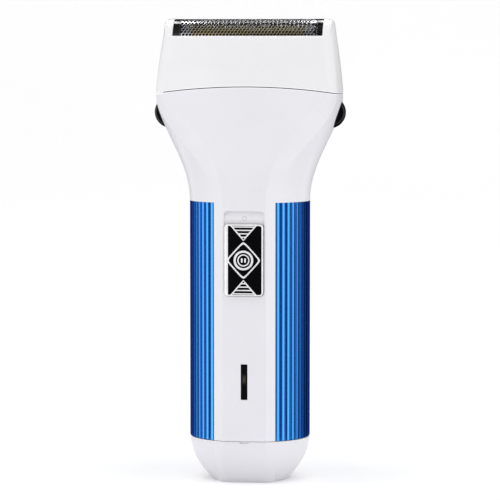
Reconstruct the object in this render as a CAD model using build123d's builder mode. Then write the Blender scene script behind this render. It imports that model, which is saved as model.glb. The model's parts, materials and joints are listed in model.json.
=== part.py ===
from build123d import *
import os
from math import atan2, cos, degrees, hypot, radians, sin, sqrt, tan

# A hand-held foil shaver that stands on its base, in millimetres.
# The front panel faces -Y, the length runs up +Z, and z = 0 is the face it stands on.

# Heights, stacked up from the face it stands on
base_height = 15.05
grip_length = 81.3
neck_height = 36.5
head_height = 25.7
seam_rise = 2.4
lip_depth = 5.9

# Cross-section of the handle: flat front panel, crowned back, round sides, bevelled corners
panel_half_width = 7.4
bevel_half_width = 10.5
bevel_drop = 1.6
back_crown = 0.6
bevel_roundness = 0.1
back_roundness = 0.8

# Cross-section of the shoulder, where the head sits on the body
shoulder_half_width = 31.9
shoulder_side_bow = 1.0
shoulder_corner_run = 3.2
shoulder_corner_drop = 2.6
head_top_narrowing = 3.1
flare_bias = 1.09
crease_bias = 1.9
narrowing_bias = 1.4
taper_bias = 2.0

# Base cap
base_step = 0.2
base_front_step = 0.3
base_side_round = 7.4
base_front_round = 5.2
base_panel_round = 0.5
base_bevel_round = 0.8
base_corner_drop = 1.2
base_wall = 2.0
base_floor = 2.6
collar_height = 3.0
collar_thickness = 1.2
notch_half_width = 1.5
notch_depth = 0.6
base_level_bias = 1.5

# Walls, seams and clearances
wall = 1.6
head_wall = 1.7
base_seam = 0.25
head_seam = 0.3
half_seam = 0.05
seat_gap = 0.15
fit_gap = 0.05
slide_gap = 0.25
press_gap = 0.01
running_gap = 0.05
overlap = 1.0

# Grips
grip_thickness = 1.3
rib_depth = 0.45
rib_count = 18

# Foil, its cassette and the cutter under it
foil_radius = 7.6
foil_thickness = 0.15
foil_skirt = 6.2
foil_top_drop = 0.1
ear_length = 3.1
crown_radius = 9.3
crown_shoulder = 0.5
ear_round = 1.7
ear_slope = 60.0
end_plate = 2.0
rail_width = 0.85
rail_height = 3.0
rail_drop = 0.8
cutter_gap = 0.15
cutter_end_gap = 0.8
blade_count = 31
blade_thickness = 0.25
blade_depth = 2.55
carrier_depth = 5.3
carrier_boss_radius = 4.0
carrier_boss_height = 3.4
cutter_float = 1.0
post_reach = 1.2
post_end_gap = 0.5

# Charging inlet in the base
socket_half_length = 6.5
socket_half_width = 3.1
socket_depth = 8.5
socket_wall = 1.6
pin_spacing = 7.0
pin_radius = 1.0
pin_recess = 1.8
pin_drop = 0.4
pin_end = 0.5

# Slide switch on the front
slide_width = 13.3
slide_height = 24.3
slide_rise = 49.8
slide_corner = 1.3
slide_proud = 2.0
slide_edge_round = 0.8
slide_travel = 4.1
pocket_depth = 1.2
stem_width = 4.0
stem_height = 5.6
carrier_plate = 1.15
carrier_gap = 0.4
carrier_plate_width = 9.6
lever_width = 1.6
lever_height = 2.4
lever_drop = 6.2
switch_height = 2.0
switch_margin = 2.0

# Charge light
window_width = 2.2
window_height = 12.1
window_rise = 14.25
window_corner = 0.25
window_flange = 0.9
window_flange_thickness = 0.8
led_width = 3.0
led_gap = 1.45
led_corner = 0.6

# Circuit board and what it carries
board_thickness = 1.2
board_half_width = 9.4
board_rise = 0.7
board_top_margin = 6.0
board_room_back = 4.4
transformer_width = 12.0
transformer_height = 13.0
transformer_depth = 4.0
transformer_chamfer = 1.0
capacitor_radius = 2.0
capacitor_length = 11.0
board_screw_radius = 0.9
board_screw_head = 1.7
board_screw_bite = 3.0
board_screw_gap = 1.2
lower_screw_rise = 6.3
transformer_rise = 25.3
standoff_radius = 1.9

# Cells and the frame that holds them
cell_radius = 7.25
cell_gap = 0.4
cell_side_room = 3.1
cell_back_room = 4.15
cell_rim_round = 0.8
cell_nub_radius = 2.75
cell_nub_height = 1.2
tab_thickness = 0.2
tab_width = 3.2
chassis_wall = 1.5
floor_gap = 0.5
tray_gap = 0.6
divider_half_width = 13.2

# Motor
motor_half_width = 10.2
motor_half_depth = 7.7
motor_can_length = 29.0
motor_cap_length = 3.0
motor_wall = 0.8
motor_boss_radius = 3.2
motor_boss_height = 1.5
shaft_radius = 1.0
shaft_inset = 0.5
bush_radius = 2.4
rotor_radius = 5.6
rotor_length = 18.0
rotor_poles = 3
pole_gap_offset = 4.5
pole_gap_length = 2.8
pole_gap_width = 1.7
air_gap = 0.4
magnet_inner = 3.0
magnet_half_depth = 5.5
terminal_offset = 5.6
terminal_width = 1.6
terminal_thickness = 0.6
motor_screw_offset = 6.2
motor_screw_radius = 0.9
motor_screw_head = 1.8
motor_screw_head_height = 1.2

# Crank, guide rods and the bridge that carries the cutter to and fro
drive_plate = 2.0
drive_half_depth = 9.0
hub_radius = 3.5
hub_height = 3.4
hub_gap = 0.3
crank_offset = 0.8
crank_pin_radius = 0.75
crank_pin_length = 5.0
crank_pin_root = 0.4
bridge_half_width = 7.0
bridge_half_depth = 8.6
bridge_height = 9.0
bridge_lift = 1.4
bridge_room = 10.2
pocket_cover = 0.6
rod_radius = 1.0
rod_offset = 6.2
rod_rise = 5.4
ear_thickness = 3.0
stroke = 0.8
stroke_gap = 1.2
post_radius = 1.6
post_socket = 4.0
post_flange_radius = 3.0
post_flange_height = 1.0
spring_wall = 1.0

# Deck that closes the neck under the head
deck_thickness = 1.4
deck_rise = 0.2
deck_collar_height = 4.8
deck_collar_thickness = 1.3
seal_height = 1.8
seal_width = 2.2
seal_clearance = 0.6

# Release buttons at the sides of the neck
button_margin = 0.35
button_radius = 4.45
button_rise = 2.6
button_travel = 1.5
button_seat = 1.2
button_flange = 0.8
button_boss = 1.1
button_flange_thickness = 1.0
button_spigot_radius = 1.4
button_spigot_length = 2.2
spring_spare = 0.9
release_spring_wall = 0.9
button_gap = 0.15

# Screws that hold the two shells together
screw_gap = 0.8
screw_rise = 16.0
screw_radius = 0.9
screw_head_radius = 2.0
screw_head_height = 1.6
screw_boss_radius = 2.8
screw_bite = 6.0

# Handle width: two cells side by side, room, the wall and the grip
cell_offset = cell_radius + cell_gap / 2
handle_half_width = cell_offset + cell_radius + cell_side_room + wall + fit_gap + grip_thickness

# Handle depth: cells, divider, board, switch, slide and walls, from the back to the front
cell_zone = wall + cell_back_room + 2 * cell_radius + seat_gap + chassis_wall
board_zone = board_room_back + board_thickness + switch_height
slide_zone = carrier_gap + carrier_plate + seat_gap + wall + pocket_depth
handle_front = (cell_zone + board_zone + slide_zone) / 2
side_half_depth = handle_front - bevel_drop
cell_back_shift = handle_front - wall - cell_back_room - cell_radius
board_front = handle_front - slide_zone - switch_height
board_back = board_front - board_thickness
led_depth = handle_front - wall - fit_gap - window_flange_thickness - led_gap - board_front

# Outer heights
grip_top = base_height + grip_length
seam_side = grip_top + neck_height
seam_middle = seam_side + seam_rise
top = seam_side + head_height
lip_z = top - lip_depth
seam_radius = (shoulder_half_width**2 + seam_rise**2) / (2 * seam_rise)
slide_bottom = base_height + slide_rise
slide_middle = slide_bottom + slide_height / 2
window_bottom = base_height + window_rise
board_bottom = base_height + board_rise

# Foil and cutter
foil_z = top - foil_top_drop - foil_radius
opening_half_length = shoulder_half_width - head_top_narrowing - ear_length
opening_half_width = foil_radius + seat_gap + fit_gap
front_taper = handle_front - opening_half_width
foil_half_length = opening_half_length - 2 * fit_gap - end_plate
cutter_half_length = foil_half_length - stroke - cutter_end_gap
blade_pitch = 2 * (cutter_half_length - blade_thickness) / (blade_count - 1)
carrier_bottom = foil_z - carrier_depth
boss_bottom = carrier_bottom - carrier_boss_height
post_top = carrier_bottom + post_reach

# Deck, and the drive that hangs below it
deck_top = seam_side + deck_rise
deck_bottom = deck_top - deck_thickness
flange_bottom = deck_top + seal_height + seal_clearance
flange_top = flange_bottom + post_flange_height
bridge_top = deck_bottom - bridge_room
bridge_bottom = bridge_top - bridge_height
rod_z = bridge_bottom + rod_rise
hub_top = bridge_bottom - bridge_lift
hub_bottom = hub_top - hub_height
pin_top = hub_top + crank_pin_length
pocket_top = pin_top + pocket_cover
plate_top = hub_bottom - hub_gap - motor_screw_head_height
can_top = plate_top - drive_plate
can_bottom = can_top - motor_can_length
shelf_top = can_bottom - motor_cap_length
shelf_z = shelf_top - chassis_wall
ear_inner = bridge_half_width + stroke + stroke_gap
ear_outer = ear_inner + ear_thickness

# Cells, which fill the handle between the floor and the motor's shelf
floor_z = base_height + collar_height + floor_gap
floor_top = floor_z + chassis_wall
cell_bottom = floor_top + tab_thickness + 2 * fit_gap
cell_top = shelf_z - tab_thickness - 2 * fit_gap
cell_length = cell_top - cell_bottom

# Release buttons and body screws
button_z = deck_bottom - button_margin - button_boss - button_radius
release_spring_length = button_spigot_length + button_travel + spring_spare
screw_offset = ear_outer + screw_gap + screw_boss_radius
reach = 2 * shoulder_half_width


def ease(t):
    """Smooth step from 0 to 1 with level ends."""
    return t * t * (3 - 2 * t)


def side_circle(half_width, corner, half_depth):
    """Centre and radius of the arc from corner to corner through the widest point of the side."""
    centre = (half_width**2 - corner**2 - half_depth**2) / (2 * (half_width - corner))
    return centre, half_width - centre


def upper_sizes(z, inset=0.0):
    """Half sizes of the body above the grips at height z, drawn in by inset all round."""
    rise = min(1.0, max(0.0, z - grip_top) / neck_height)
    flare = ease(rise**flare_bias)
    above = max(0.0, z - seam_side) / head_height
    narrowing = head_top_narrowing * above**narrowing_bias
    corner_top = shoulder_half_width - shoulder_side_bow
    panel_top = corner_top - shoulder_corner_run
    half_width = handle_half_width + (shoulder_half_width - handle_half_width) * flare
    corner = bevel_half_width + (corner_top - bevel_half_width) * flare
    panel = panel_half_width + (panel_top - panel_half_width) * rise**crease_bias
    drop = bevel_drop + (shoulder_corner_drop - bevel_drop) * flare
    taper = front_taper * (max(0.0, z - grip_top) / (top - grip_top)) ** taper_bias
    front = handle_front - taper - inset
    return {
        "half_width": half_width - narrowing - inset,
        "corner": corner - narrowing - inset,
        "panel": panel - narrowing - inset,
        "front": front,
        "half_depth": front - drop,
        "roundness": bevel_roundness + (1 - bevel_roundness) * flare,
    }


def base_sizes(z, inset=0.0):
    """Half sizes of the base cap at height z, which rounds in towards the face it stands on."""
    drawn_in = (1 - z / base_height) ** 2
    front = handle_front - base_front_step - base_front_round * drawn_in - inset
    return {
        "half_width": handle_half_width - base_step - base_side_round * drawn_in - inset,
        "corner": bevel_half_width - base_bevel_round * drawn_in - inset,
        "panel": panel_half_width - base_panel_round * drawn_in - inset,
        "front": front,
        "half_depth": front - bevel_drop - base_corner_drop * drawn_in,
        "roundness": bevel_roundness + (1 - bevel_roundness) * drawn_in,
    }


def cavity_sizes(inset=0.0):
    """Half sizes of the hollow inside the handle, with its sides concentric to the grips."""
    centre, radius = side_circle(handle_half_width, bevel_half_width, side_half_depth)
    inner = radius - grip_thickness - fit_gap - wall - inset
    corner = centre + (bevel_half_width - centre) * inner / radius
    half_depth = side_half_depth * inner / radius
    return {
        "half_width": centre + inner,
        "corner": corner,
        "panel": panel_half_width - inset,
        "front": handle_front - wall - inset,
        "half_depth": half_depth,
        "roundness": bevel_roundness,
    }


def draw_outline(sizes, mode=Mode.ADD):
    """Closed cross-section: flat front panel, crowned back, round sides and a bevel at each corner."""
    w = sizes["half_width"]
    v = sizes["corner"]
    p = sizes["panel"]
    f = sizes["front"]
    s = sizes["half_depth"]
    turn = atan2(f - s, v - p)
    sagitta = hypot(v - p, f - s) / 2 * tan(turn / 2)
    front_bulge = sizes["roundness"] * sagitta
    back_bulge = max(sizes["roundness"], back_roundness) * sagitta
    middle = (p + v) / 2
    front_bevel = (middle + front_bulge * sin(turn), -(f + s) / 2 - front_bulge * cos(turn))
    back_bevel = (middle + back_bulge * sin(turn), (f + s) / 2 + back_bulge * cos(turn))
    with BuildLine() as outline:
        Line((-p, -f), (p, -f))
        ThreePointArc((p, -f), front_bevel, (v, -s))
        ThreePointArc((v, -s), (w, 0), (v, s))
        ThreePointArc((v, s), back_bevel, (p, f))
        ThreePointArc((p, f), (0, f + back_crown), (-p, f))
        ThreePointArc((-p, f), (-back_bevel[0], back_bevel[1]), (-v, s))
        ThreePointArc((-v, s), (-w, 0), (-v, -s))
        ThreePointArc((-v, -s), (-front_bevel[0], front_bevel[1]), (-p, -f))
    make_face(outline.edges(), mode=mode)


def draw_stadium(half_length, half_width, mode=Mode.ADD):
    """Slot outline along X with round ends."""
    SlotOverall(2 * half_length, 2 * half_width, mode=mode)


def below_seam(mode, extra=0.0):
    """Round region whose upper edge is the arched seam between body and head."""
    with BuildSketch(Plane.XZ) as region:
        with Locations((0, seam_middle - seam_radius)):
            Circle(seam_radius + extra)
    extrude(region.sketch, amount=reach, both=True, mode=mode)


def tube_between(bottom, height, outer, inner):
    """Upright sleeve on the Z axis."""
    with BuildSketch(Plane.XY.offset(bottom)) as ring:
        Circle(outer)
        Circle(inner, mode=Mode.SUBTRACT)
    extrude(ring.sketch, amount=height)


def drum(x, y, bottom, height, radius, mode=Mode.ADD):
    """Upright cylinder at (x, y)."""
    with BuildSketch(Plane.XY.offset(bottom)) as disc:
        with Locations((x, y)):
            Circle(radius)
    extrude(disc.sketch, amount=height, mode=mode)


def drum_along_y(x, z, front, length, radius, mode=Mode.ADD):
    """Cylinder along +Y that starts at y = front."""
    with BuildSketch(Plane.XZ.offset(-front)) as disc:
        with Locations((x, z)):
            Circle(radius)
    extrude(disc.sketch, amount=-length, mode=mode)


def drum_along_x(y, z, start, length, radius, mode=Mode.ADD):
    """Cylinder along +X that starts at x = start."""
    with BuildSketch(Plane.YZ.offset(start)) as disc:
        with Locations((y, z)):
            Circle(radius)
    extrude(disc.sketch, amount=length, mode=mode)


def block(x, y, z, mode=Mode.ADD):
    """Box from three (low, high) pairs."""
    middle = tuple((low + high) / 2 for low, high in (x, y, z))
    with Locations(middle):
        Box(x[1] - x[0], y[1] - y[0], z[1] - z[0], mode=mode)


def keep(piece, name):
    """Label one finished piece and write it."""
    piece.part.label = name
    export_step(piece.part, f"parts/{name}.step")


os.makedirs("parts", exist_ok=True)

neck_steps = 8
head_steps = 5
neck_levels = [grip_top + neck_height * k / neck_steps for k in range(neck_steps + 1)]
head_levels = [seam_side + head_height * k / head_steps for k in range(1, head_steps + 1)]

# Outer form above the grips, shared by the two shells and the head frame
with BuildPart() as upper_form:
    for level in neck_levels + head_levels:
        with BuildSketch(Plane.XY.offset(level)):
            draw_outline(upper_sizes(level))
    loft()

# Outer form of the body: handle and neck up to the arched seam
with BuildPart() as body_form:
    with BuildSketch(Plane.XY.offset(base_height)):
        draw_outline(upper_sizes(grip_top))
    extrude(amount=grip_length)
    add(upper_form.part)
    below_seam(Mode.INTERSECT)

# Hollow inside the body
cavity_step = grip_top + wall
with BuildPart() as body_cavity:
    with BuildSketch(Plane.XY.offset(base_height - overlap)):
        draw_outline(cavity_sizes())
    extrude(amount=cavity_step + overlap - base_height)
    with BuildSketch(Plane.XY.offset(cavity_step)):
        draw_outline(cavity_sizes())
    for level in neck_levels[1:] + head_levels[:1]:
        with BuildSketch(Plane.XY.offset(level)):
            draw_outline(upper_sizes(level, wall))
    loft(ruled=True)

# Release button places: the side wall leans out, so the dome leans with it
wall_low = upper_sizes(button_z - button_radius)["half_width"]
wall_high = upper_sizes(button_z + button_radius)["half_width"]
lean = atan2(wall_high - wall_low, 2 * button_radius)
half_chord = hypot(button_radius, (wall_high - wall_low) / 2)
dome_radius = (half_chord**2 + button_rise**2) / (2 * button_rise)
dome_x = (wall_low + wall_high) / 2 - (dome_radius - button_rise) * cos(lean)
dome_z = button_z + (dome_radius - button_rise) * sin(lean)
seat_x = wall_low - wall - button_seat
flange_in = seat_x - button_gap - button_flange_thickness
spring_in = flange_in - release_spring_length

# Bosses inside the shells: seats of the release buttons and of the two body screws
screw_z = grip_top + screw_rise
with BuildPart() as shell_bosses:
    for side in (-1, 1):
        start = seat_x if side > 0 else -reach
        drum_along_x(0, button_z, start, reach - seat_x, button_radius + button_boss)
        drum_along_y(side * screw_offset, screw_z, -reach, 2 * reach, screw_boss_radius)
    add(body_form.part, mode=Mode.INTERSECT)

# Both shells as one hollow piece, before it is parted at the middle
side_centre, side_radius = side_circle(handle_half_width, bevel_half_width, side_half_depth)
grip_angle = degrees(atan2(side_half_depth, bevel_half_width - side_centre))
pocket_low = slide_bottom - slide_gap
pocket_high = slide_bottom + slide_height + slide_travel + slide_gap
pocket_floor = handle_front - pocket_depth
pad_back = pocket_floor - wall
stem_low = slide_middle - stem_height / 2 - slide_gap
stem_high = slide_middle + stem_height / 2 + slide_travel + slide_gap
pocket_middle = (pocket_low + pocket_high) / 2
pocket_length = pocket_high - pocket_low
window_middle = window_bottom + window_height / 2
with BuildPart() as hollow_body:
    add(body_form.part)
    add(body_cavity.part, mode=Mode.SUBTRACT)
    add(shell_bosses.part)
    # Recesses for the two grips
    with BuildSketch(Plane.XY.offset(base_height - overlap)):
        for turn in (0, 180):
            with BuildLine():
                centre = (side_centre, 0) if turn == 0 else (-side_centre, 0)
                start_angle = turn - grip_angle
                floor_radius = side_radius - grip_thickness - fit_gap
                inner = CenterArc(centre, floor_radius, start_angle, 2 * grip_angle)
                outer = CenterArc(centre, side_radius + wall, start_angle, 2 * grip_angle)
                Line(inner @ 0, outer @ 0)
                Line(inner @ 1, outer @ 1)
            make_face()
    extrude(amount=grip_length + overlap, mode=Mode.SUBTRACT)
    # Pad behind the slide switch, its pocket and the slot for its stem
    block(
        (-slide_width / 2 - wall, slide_width / 2 + wall),
        (-handle_front + wall / 2, -pad_back),
        (pocket_low - wall, pocket_high + wall),
    )
    with BuildSketch(Plane.XZ.offset(pocket_floor)):
        with Locations((0, pocket_middle)):
            RectangleRounded(slide_width + 2 * slide_gap, pocket_length, slide_corner + slide_gap)
    extrude(amount=reach, mode=Mode.SUBTRACT)
    with BuildSketch(Plane.XZ):
        with Locations((0, (stem_low + stem_high) / 2)):
            Rectangle(stem_width + 2 * slide_gap, stem_high - stem_low)
        with Locations((0, window_middle)):
            RectangleRounded(window_width + 2 * fit_gap, window_height + 2 * fit_gap, window_corner)
    extrude(amount=reach, mode=Mode.SUBTRACT)
    # Holes for the release buttons and the body screws
    drum_along_x(0, button_z, -reach, 2 * reach, button_radius + button_gap, mode=Mode.SUBTRACT)
    screw_back = upper_sizes(screw_z)["half_depth"] - screw_head_height
    for side in (-1, 1):
        x = side * screw_offset
        shank_hole = screw_radius + press_gap
        drum_along_y(x, screw_z, -screw_bite, screw_bite + reach, shank_hole, mode=Mode.SUBTRACT)
        drum_along_y(x, screw_z, screw_back, reach, screw_head_radius + fit_gap, mode=Mode.SUBTRACT)

with BuildPart() as front_shell:
    add(hollow_body.part)
    block((-reach, reach), (-reach, -half_seam), (0, top), mode=Mode.INTERSECT)
keep(front_shell, "front_shell")

with BuildPart() as rear_shell:
    add(hollow_body.part)
    block((-reach, reach), (half_seam, reach), (0, top), mode=Mode.INTERSECT)
keep(rear_shell, "rear_shell")

# Fluted side grips, one convex rib after another around the handle's side
with BuildPart() as right_grip:
    with BuildSketch(Plane.XY.offset(base_height + fit_gap)):
        valley = side_radius - rib_depth
        inner_radius = side_radius - grip_thickness
        edge_angle = grip_angle - degrees(fit_gap / side_radius)
        rib_angle = 2 * edge_angle / rib_count
        with BuildLine():
            inner = CenterArc((side_centre, 0), inner_radius, -edge_angle, 2 * edge_angle)
            for rib in range(rib_count):
                angles = [radians(-edge_angle + rib_angle * (rib + share)) for share in (0, 0.5, 1)]
                radii = (valley, side_radius, valley)
                points = [(side_centre + r * cos(a), r * sin(a)) for r, a in zip(radii, angles)]
                ThreePointArc(*points)
                if rib == 0:
                    Line(inner @ 0, points[0])
            Line(inner @ 1, points[2])
        make_face()
    extrude(amount=grip_length - 2 * fit_gap)
keep(right_grip, "right_grip")

with BuildPart() as left_grip:
    mirror(right_grip.part, about=Plane.YZ)
keep(left_grip, "left_grip")

# Base cap with the charging socket in the face it stands on
base_steps = 7
base_top = base_height - base_seam
base_levels = [base_top * (k / base_steps) ** base_level_bias for k in range(base_steps + 1)]
with BuildPart() as base_cap:
    for level in base_levels:
        with BuildSketch(Plane.XY.offset(level)):
            draw_outline(base_sizes(level))
    loft()
    inner_levels = [base_floor] + [level for level in base_levels if level > base_floor + overlap]
    for level in inner_levels:
        with BuildSketch(Plane.XY.offset(level)):
            draw_outline(base_sizes(level, base_wall))
    loft(mode=Mode.SUBTRACT)
    with BuildSketch(Plane.XY.offset(base_top - collar_height)):
        draw_outline(cavity_sizes(seat_gap))
        draw_outline(cavity_sizes(seat_gap + collar_thickness), mode=Mode.SUBTRACT)
    extrude(amount=2 * collar_height + base_seam)
    with BuildSketch(Plane.XY):
        draw_stadium(socket_half_length + socket_wall, socket_half_width + socket_wall)
    extrude(amount=socket_depth + socket_wall)
    with BuildSketch(Plane.XY):
        draw_stadium(socket_half_length, socket_half_width)
    extrude(amount=socket_depth, mode=Mode.SUBTRACT)
    for side in (-1, 1):
        drum(side * pin_spacing / 2, 0, 0, base_top, pin_radius + press_gap, mode=Mode.SUBTRACT)
    notch_front = handle_front - base_front_step - notch_depth
    block(
        (-notch_half_width, notch_half_width),
        (-reach, -notch_front),
        (base_top - notch_depth, base_height),
        mode=Mode.SUBTRACT,
    )
keep(base_cap, "base_cap")

# Two inlet pins that bend forward to the circuit board
pin_turn = floor_z - pin_drop
with BuildPart() as inlet_pins:
    for side in (-1, 1):
        x = side * pin_spacing / 2
        drum(x, 0, pin_recess, pin_turn - pin_recess, pin_radius)
        block(
            (x - pin_radius / 2, x + pin_radius / 2),
            (-board_front - pin_end, 0),
            (pin_turn - pin_radius, pin_turn),
        )
keep(inlet_pins, "inlet_pins")

# Window over the charge light, flanged on the inside
with BuildPart() as led_window:
    with BuildSketch(Plane.XZ.offset(handle_front - wall - fit_gap)):
        with Locations((0, window_middle)):
            RectangleRounded(window_width, window_height, window_corner)
    extrude(amount=wall)
    with BuildSketch(Plane.XZ.offset(handle_front - wall - fit_gap)):
        with Locations((0, window_middle)):
            Rectangle(window_width + 2 * window_flange, window_height + 2 * window_flange)
    extrude(amount=-window_flange_thickness)
keep(led_window, "led_window")

# Slide switch: chromed button with its stem, the plate behind it and the switch lever
with BuildPart() as power_slide:
    slide_back = pocket_floor + 2 * fit_gap
    with BuildSketch(Plane.XZ.offset(slide_back)):
        with Locations((0, slide_middle)):
            RectangleRounded(slide_width, slide_height, slide_corner)
    extrude(amount=handle_front + slide_proud - slide_back)
    front_edges = power_slide.edges().group_by(Axis.Y)[0]
    fillet(front_edges, slide_edge_round)
    with BuildSketch(Plane.XZ.offset(slide_back)):
        with Locations((0, slide_middle)):
            Rectangle(stem_width, stem_height)
    extrude(amount=pad_back - seat_gap - carrier_plate - slide_back)
keep(power_slide, "power_slide")

lever_z = slide_middle - lever_drop
with BuildPart() as slide_carrier:
    with BuildSketch(Plane.XZ.offset(pad_back - seat_gap)):
        with Locations((0, slide_middle - lever_drop / 2)):
            Rectangle(carrier_plate_width, stem_height + lever_drop + lever_height)
        with Locations((0, slide_middle)):
            Rectangle(stem_width + 2 * fit_gap, stem_height + 2 * fit_gap, mode=Mode.SUBTRACT)
        with Locations((0, lever_z)):
            Rectangle(lever_width + 2 * fit_gap, lever_height + 2 * fit_gap, mode=Mode.SUBTRACT)
    extrude(amount=-carrier_plate)
keep(slide_carrier, "slide_carrier")

switch_front = board_front + switch_height
lever_back = board_front + switch_height / 2
with BuildPart() as switch_lever:
    block(
        (-lever_width / 2, lever_width / 2),
        (-pad_back + seat_gap, -lever_back),
        (lever_z - lever_height / 2, lever_z + lever_height / 2),
    )
keep(switch_lever, "switch_lever")

switch_low = lever_z - lever_height / 2 - slide_gap - switch_margin
with BuildPart() as power_switch:
    lever_high = lever_z + lever_height / 2 + slide_travel + slide_gap
    block(
        (-lever_width / 2 - switch_margin, lever_width / 2 + switch_margin),
        (-switch_front, -board_front),
        (switch_low, lever_high + switch_margin),
    )
    block(
        (-lever_width / 2 - slide_gap, lever_width / 2 + slide_gap),
        (-switch_front, -lever_back + slide_gap),
        (switch_low + switch_margin, lever_high),
        mode=Mode.SUBTRACT,
    )
keep(power_switch, "power_switch")

# Circuit board with its parts
board_top = can_top - board_top_margin
upper_screw_z = min(shelf_z - standoff_radius, switch_low - board_screw_head) - board_screw_gap
board_screw_zs = (floor_top + lower_screw_rise, upper_screw_z)
board_screw_hole = board_screw_radius + press_gap
with BuildPart() as circuit_board:
    block((-board_half_width, board_half_width), (-board_front, -board_back), (board_bottom, board_top))
    for z in board_screw_zs:
        drum_along_y(0, z, -board_front, board_thickness, board_screw_hole, mode=Mode.SUBTRACT)
    for side in (-1, 1):
        x = side * pin_spacing / 2
        block(
            (x - pin_radius / 2 - fit_gap, x + pin_radius / 2 + fit_gap),
            (-board_front, -board_back),
            (pin_turn - pin_radius - fit_gap, pin_turn + fit_gap),
            mode=Mode.SUBTRACT,
        )
keep(circuit_board, "circuit_board")

with BuildPart() as charge_led:
    with BuildSketch(Plane.XZ.offset(board_front)):
        with Locations((0, window_middle)):
            RectangleRounded(led_width, led_width, led_corner)
    extrude(amount=led_depth)
keep(charge_led, "charge_led")

transformer_z = floor_top + transformer_rise
with BuildPart() as charge_transformer:
    half = transformer_width / 2
    block(
        (-half, half),
        (-board_back, -board_back + transformer_depth),
        (transformer_z - transformer_height / 2, transformer_z + transformer_height / 2),
    )
    core_edges = charge_transformer.edges().filter_by(Axis.Y)
    chamfer(core_edges, transformer_chamfer)
keep(charge_transformer, "charge_transformer")

with BuildPart() as smoothing_capacitors:
    capacitor_z = board_screw_zs[0] - capacitor_length / 2
    for side in (-1, 1):
        x = side * board_half_width / 2
        drum(x, -board_back + capacitor_radius, capacitor_z, capacitor_length, capacitor_radius)
keep(smoothing_capacitors, "smoothing_capacitors")

with BuildPart() as board_screws:
    for z in board_screw_zs:
        drum_along_y(0, z, -board_front, board_thickness + board_screw_bite, board_screw_radius)
        drum_along_y(0, z, -board_front - board_screw_radius, board_screw_radius, board_screw_head)
keep(board_screws, "board_screws")

# Frame that carries the cells, the board and the motor
divider_back = cell_radius - cell_back_shift + seat_gap
divider_front = divider_back + chassis_wall
tray_front = board_back - tray_gap
with BuildPart() as chassis:
    for bottom in (floor_z, shelf_z):
        with BuildSketch(Plane.XY.offset(bottom)):
            draw_outline(cavity_sizes(seat_gap))
            with Locations((0, -tray_front - reach / 2)):
                Rectangle(reach, reach, mode=Mode.SUBTRACT)
        extrude(amount=chassis_wall)
    block((-divider_half_width, divider_half_width), (-divider_front, -divider_back), (floor_z, shelf_top))
    # Openings for the cell tabs, the inlet pins and the motor's lower boss
    for side in (-1, 1):
        x = side * cell_offset
        block(
            (x - tab_width / 2 - fit_gap, x + tab_width / 2 + fit_gap),
            (-divider_front, -divider_back),
            (floor_top, cell_bottom + 2 * fit_gap),
            mode=Mode.SUBTRACT,
        )
    drum(0, 0, shelf_z, chassis_wall, motor_boss_radius + fit_gap, mode=Mode.SUBTRACT)
    # Standoffs for the board and a cradle round the motor's foot
    for z in board_screw_zs:
        drum_along_y(0, z, -board_back, board_back - divider_back, standoff_radius)
        drum_along_y(0, z, -board_back, board_back - divider_back, board_screw_hole, mode=Mode.SUBTRACT)
    for side in (-1, 1):
        inner = side * (motor_half_width + seat_gap)
        outer = side * (motor_half_width + seat_gap + chassis_wall)
        block(
            (min(inner, outer), max(inner, outer)),
            (-motor_half_depth / 2, motor_half_depth / 2),
            (shelf_z, can_bottom + motor_cap_length),
        )
keep(chassis, "chassis")

# Two cells side by side, with welded tabs
for side, name in ((-1, "left_cell"), (1, "right_cell")):
    with BuildPart() as cell:
        x = side * cell_offset
        drum(x, cell_back_shift, cell_bottom, cell_length - cell_nub_height, cell_radius)
        rim = cell.edges().group_by(Axis.Z)[-1]
        fillet(rim, cell_rim_round)
        drum(x, cell_back_shift, cell_top - cell_nub_height, cell_nub_height, cell_nub_radius)
    keep(cell, name)

with BuildPart() as cell_tabs:
    for side in (-1, 1):
        x = side * cell_offset
        block(
            (x - tab_width / 2, x + tab_width / 2),
            (-board_back + fit_gap, cell_back_shift + tab_width),
            (floor_top + fit_gap, floor_top + fit_gap + tab_thickness),
        )
    link_low = cell_top + fit_gap
    block(
        (-cell_offset - tab_width / 2, cell_offset + tab_width / 2),
        (cell_back_shift - tab_width / 2, cell_back_shift + tab_width / 2),
        (link_low, link_low + tab_thickness),
    )
keep(cell_tabs, "cell_tabs")


def draw_motor_outline(inset=0.0):
    """Round can with flats at the front and back."""
    Circle(motor_half_width - inset)
    Rectangle(reach, 2 * (motor_half_depth - inset), mode=Mode.INTERSECT)


# Motor: can, end cap, magnets, rotor, shaft and bushes
boss_top = can_top + motor_boss_height
with BuildPart() as motor_can:
    with BuildSketch(Plane.XY.offset(can_bottom)):
        draw_motor_outline()
    extrude(amount=motor_can_length)
    with BuildSketch(Plane.XY.offset(can_bottom)):
        draw_motor_outline(motor_wall)
    extrude(amount=motor_can_length - motor_wall, mode=Mode.SUBTRACT)
    drum(0, 0, can_top - motor_wall, motor_wall + motor_boss_height, motor_boss_radius)
    drum(0, 0, can_top - motor_wall, motor_wall + motor_boss_height, bush_radius, mode=Mode.SUBTRACT)
    for side in (-1, 1):
        x = side * motor_screw_offset
        drum(x, 0, can_top - motor_wall, motor_wall, motor_screw_radius + press_gap, mode=Mode.SUBTRACT)
keep(motor_can, "motor_can")

with BuildPart() as motor_end_cap:
    with BuildSketch(Plane.XY.offset(shelf_top)):
        draw_motor_outline()
    extrude(amount=motor_cap_length)
    with BuildSketch(Plane.XY.offset(shelf_top)):
        Circle(bush_radius)
    extrude(amount=motor_cap_length, mode=Mode.SUBTRACT)
keep(motor_end_cap, "motor_end_cap")

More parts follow.
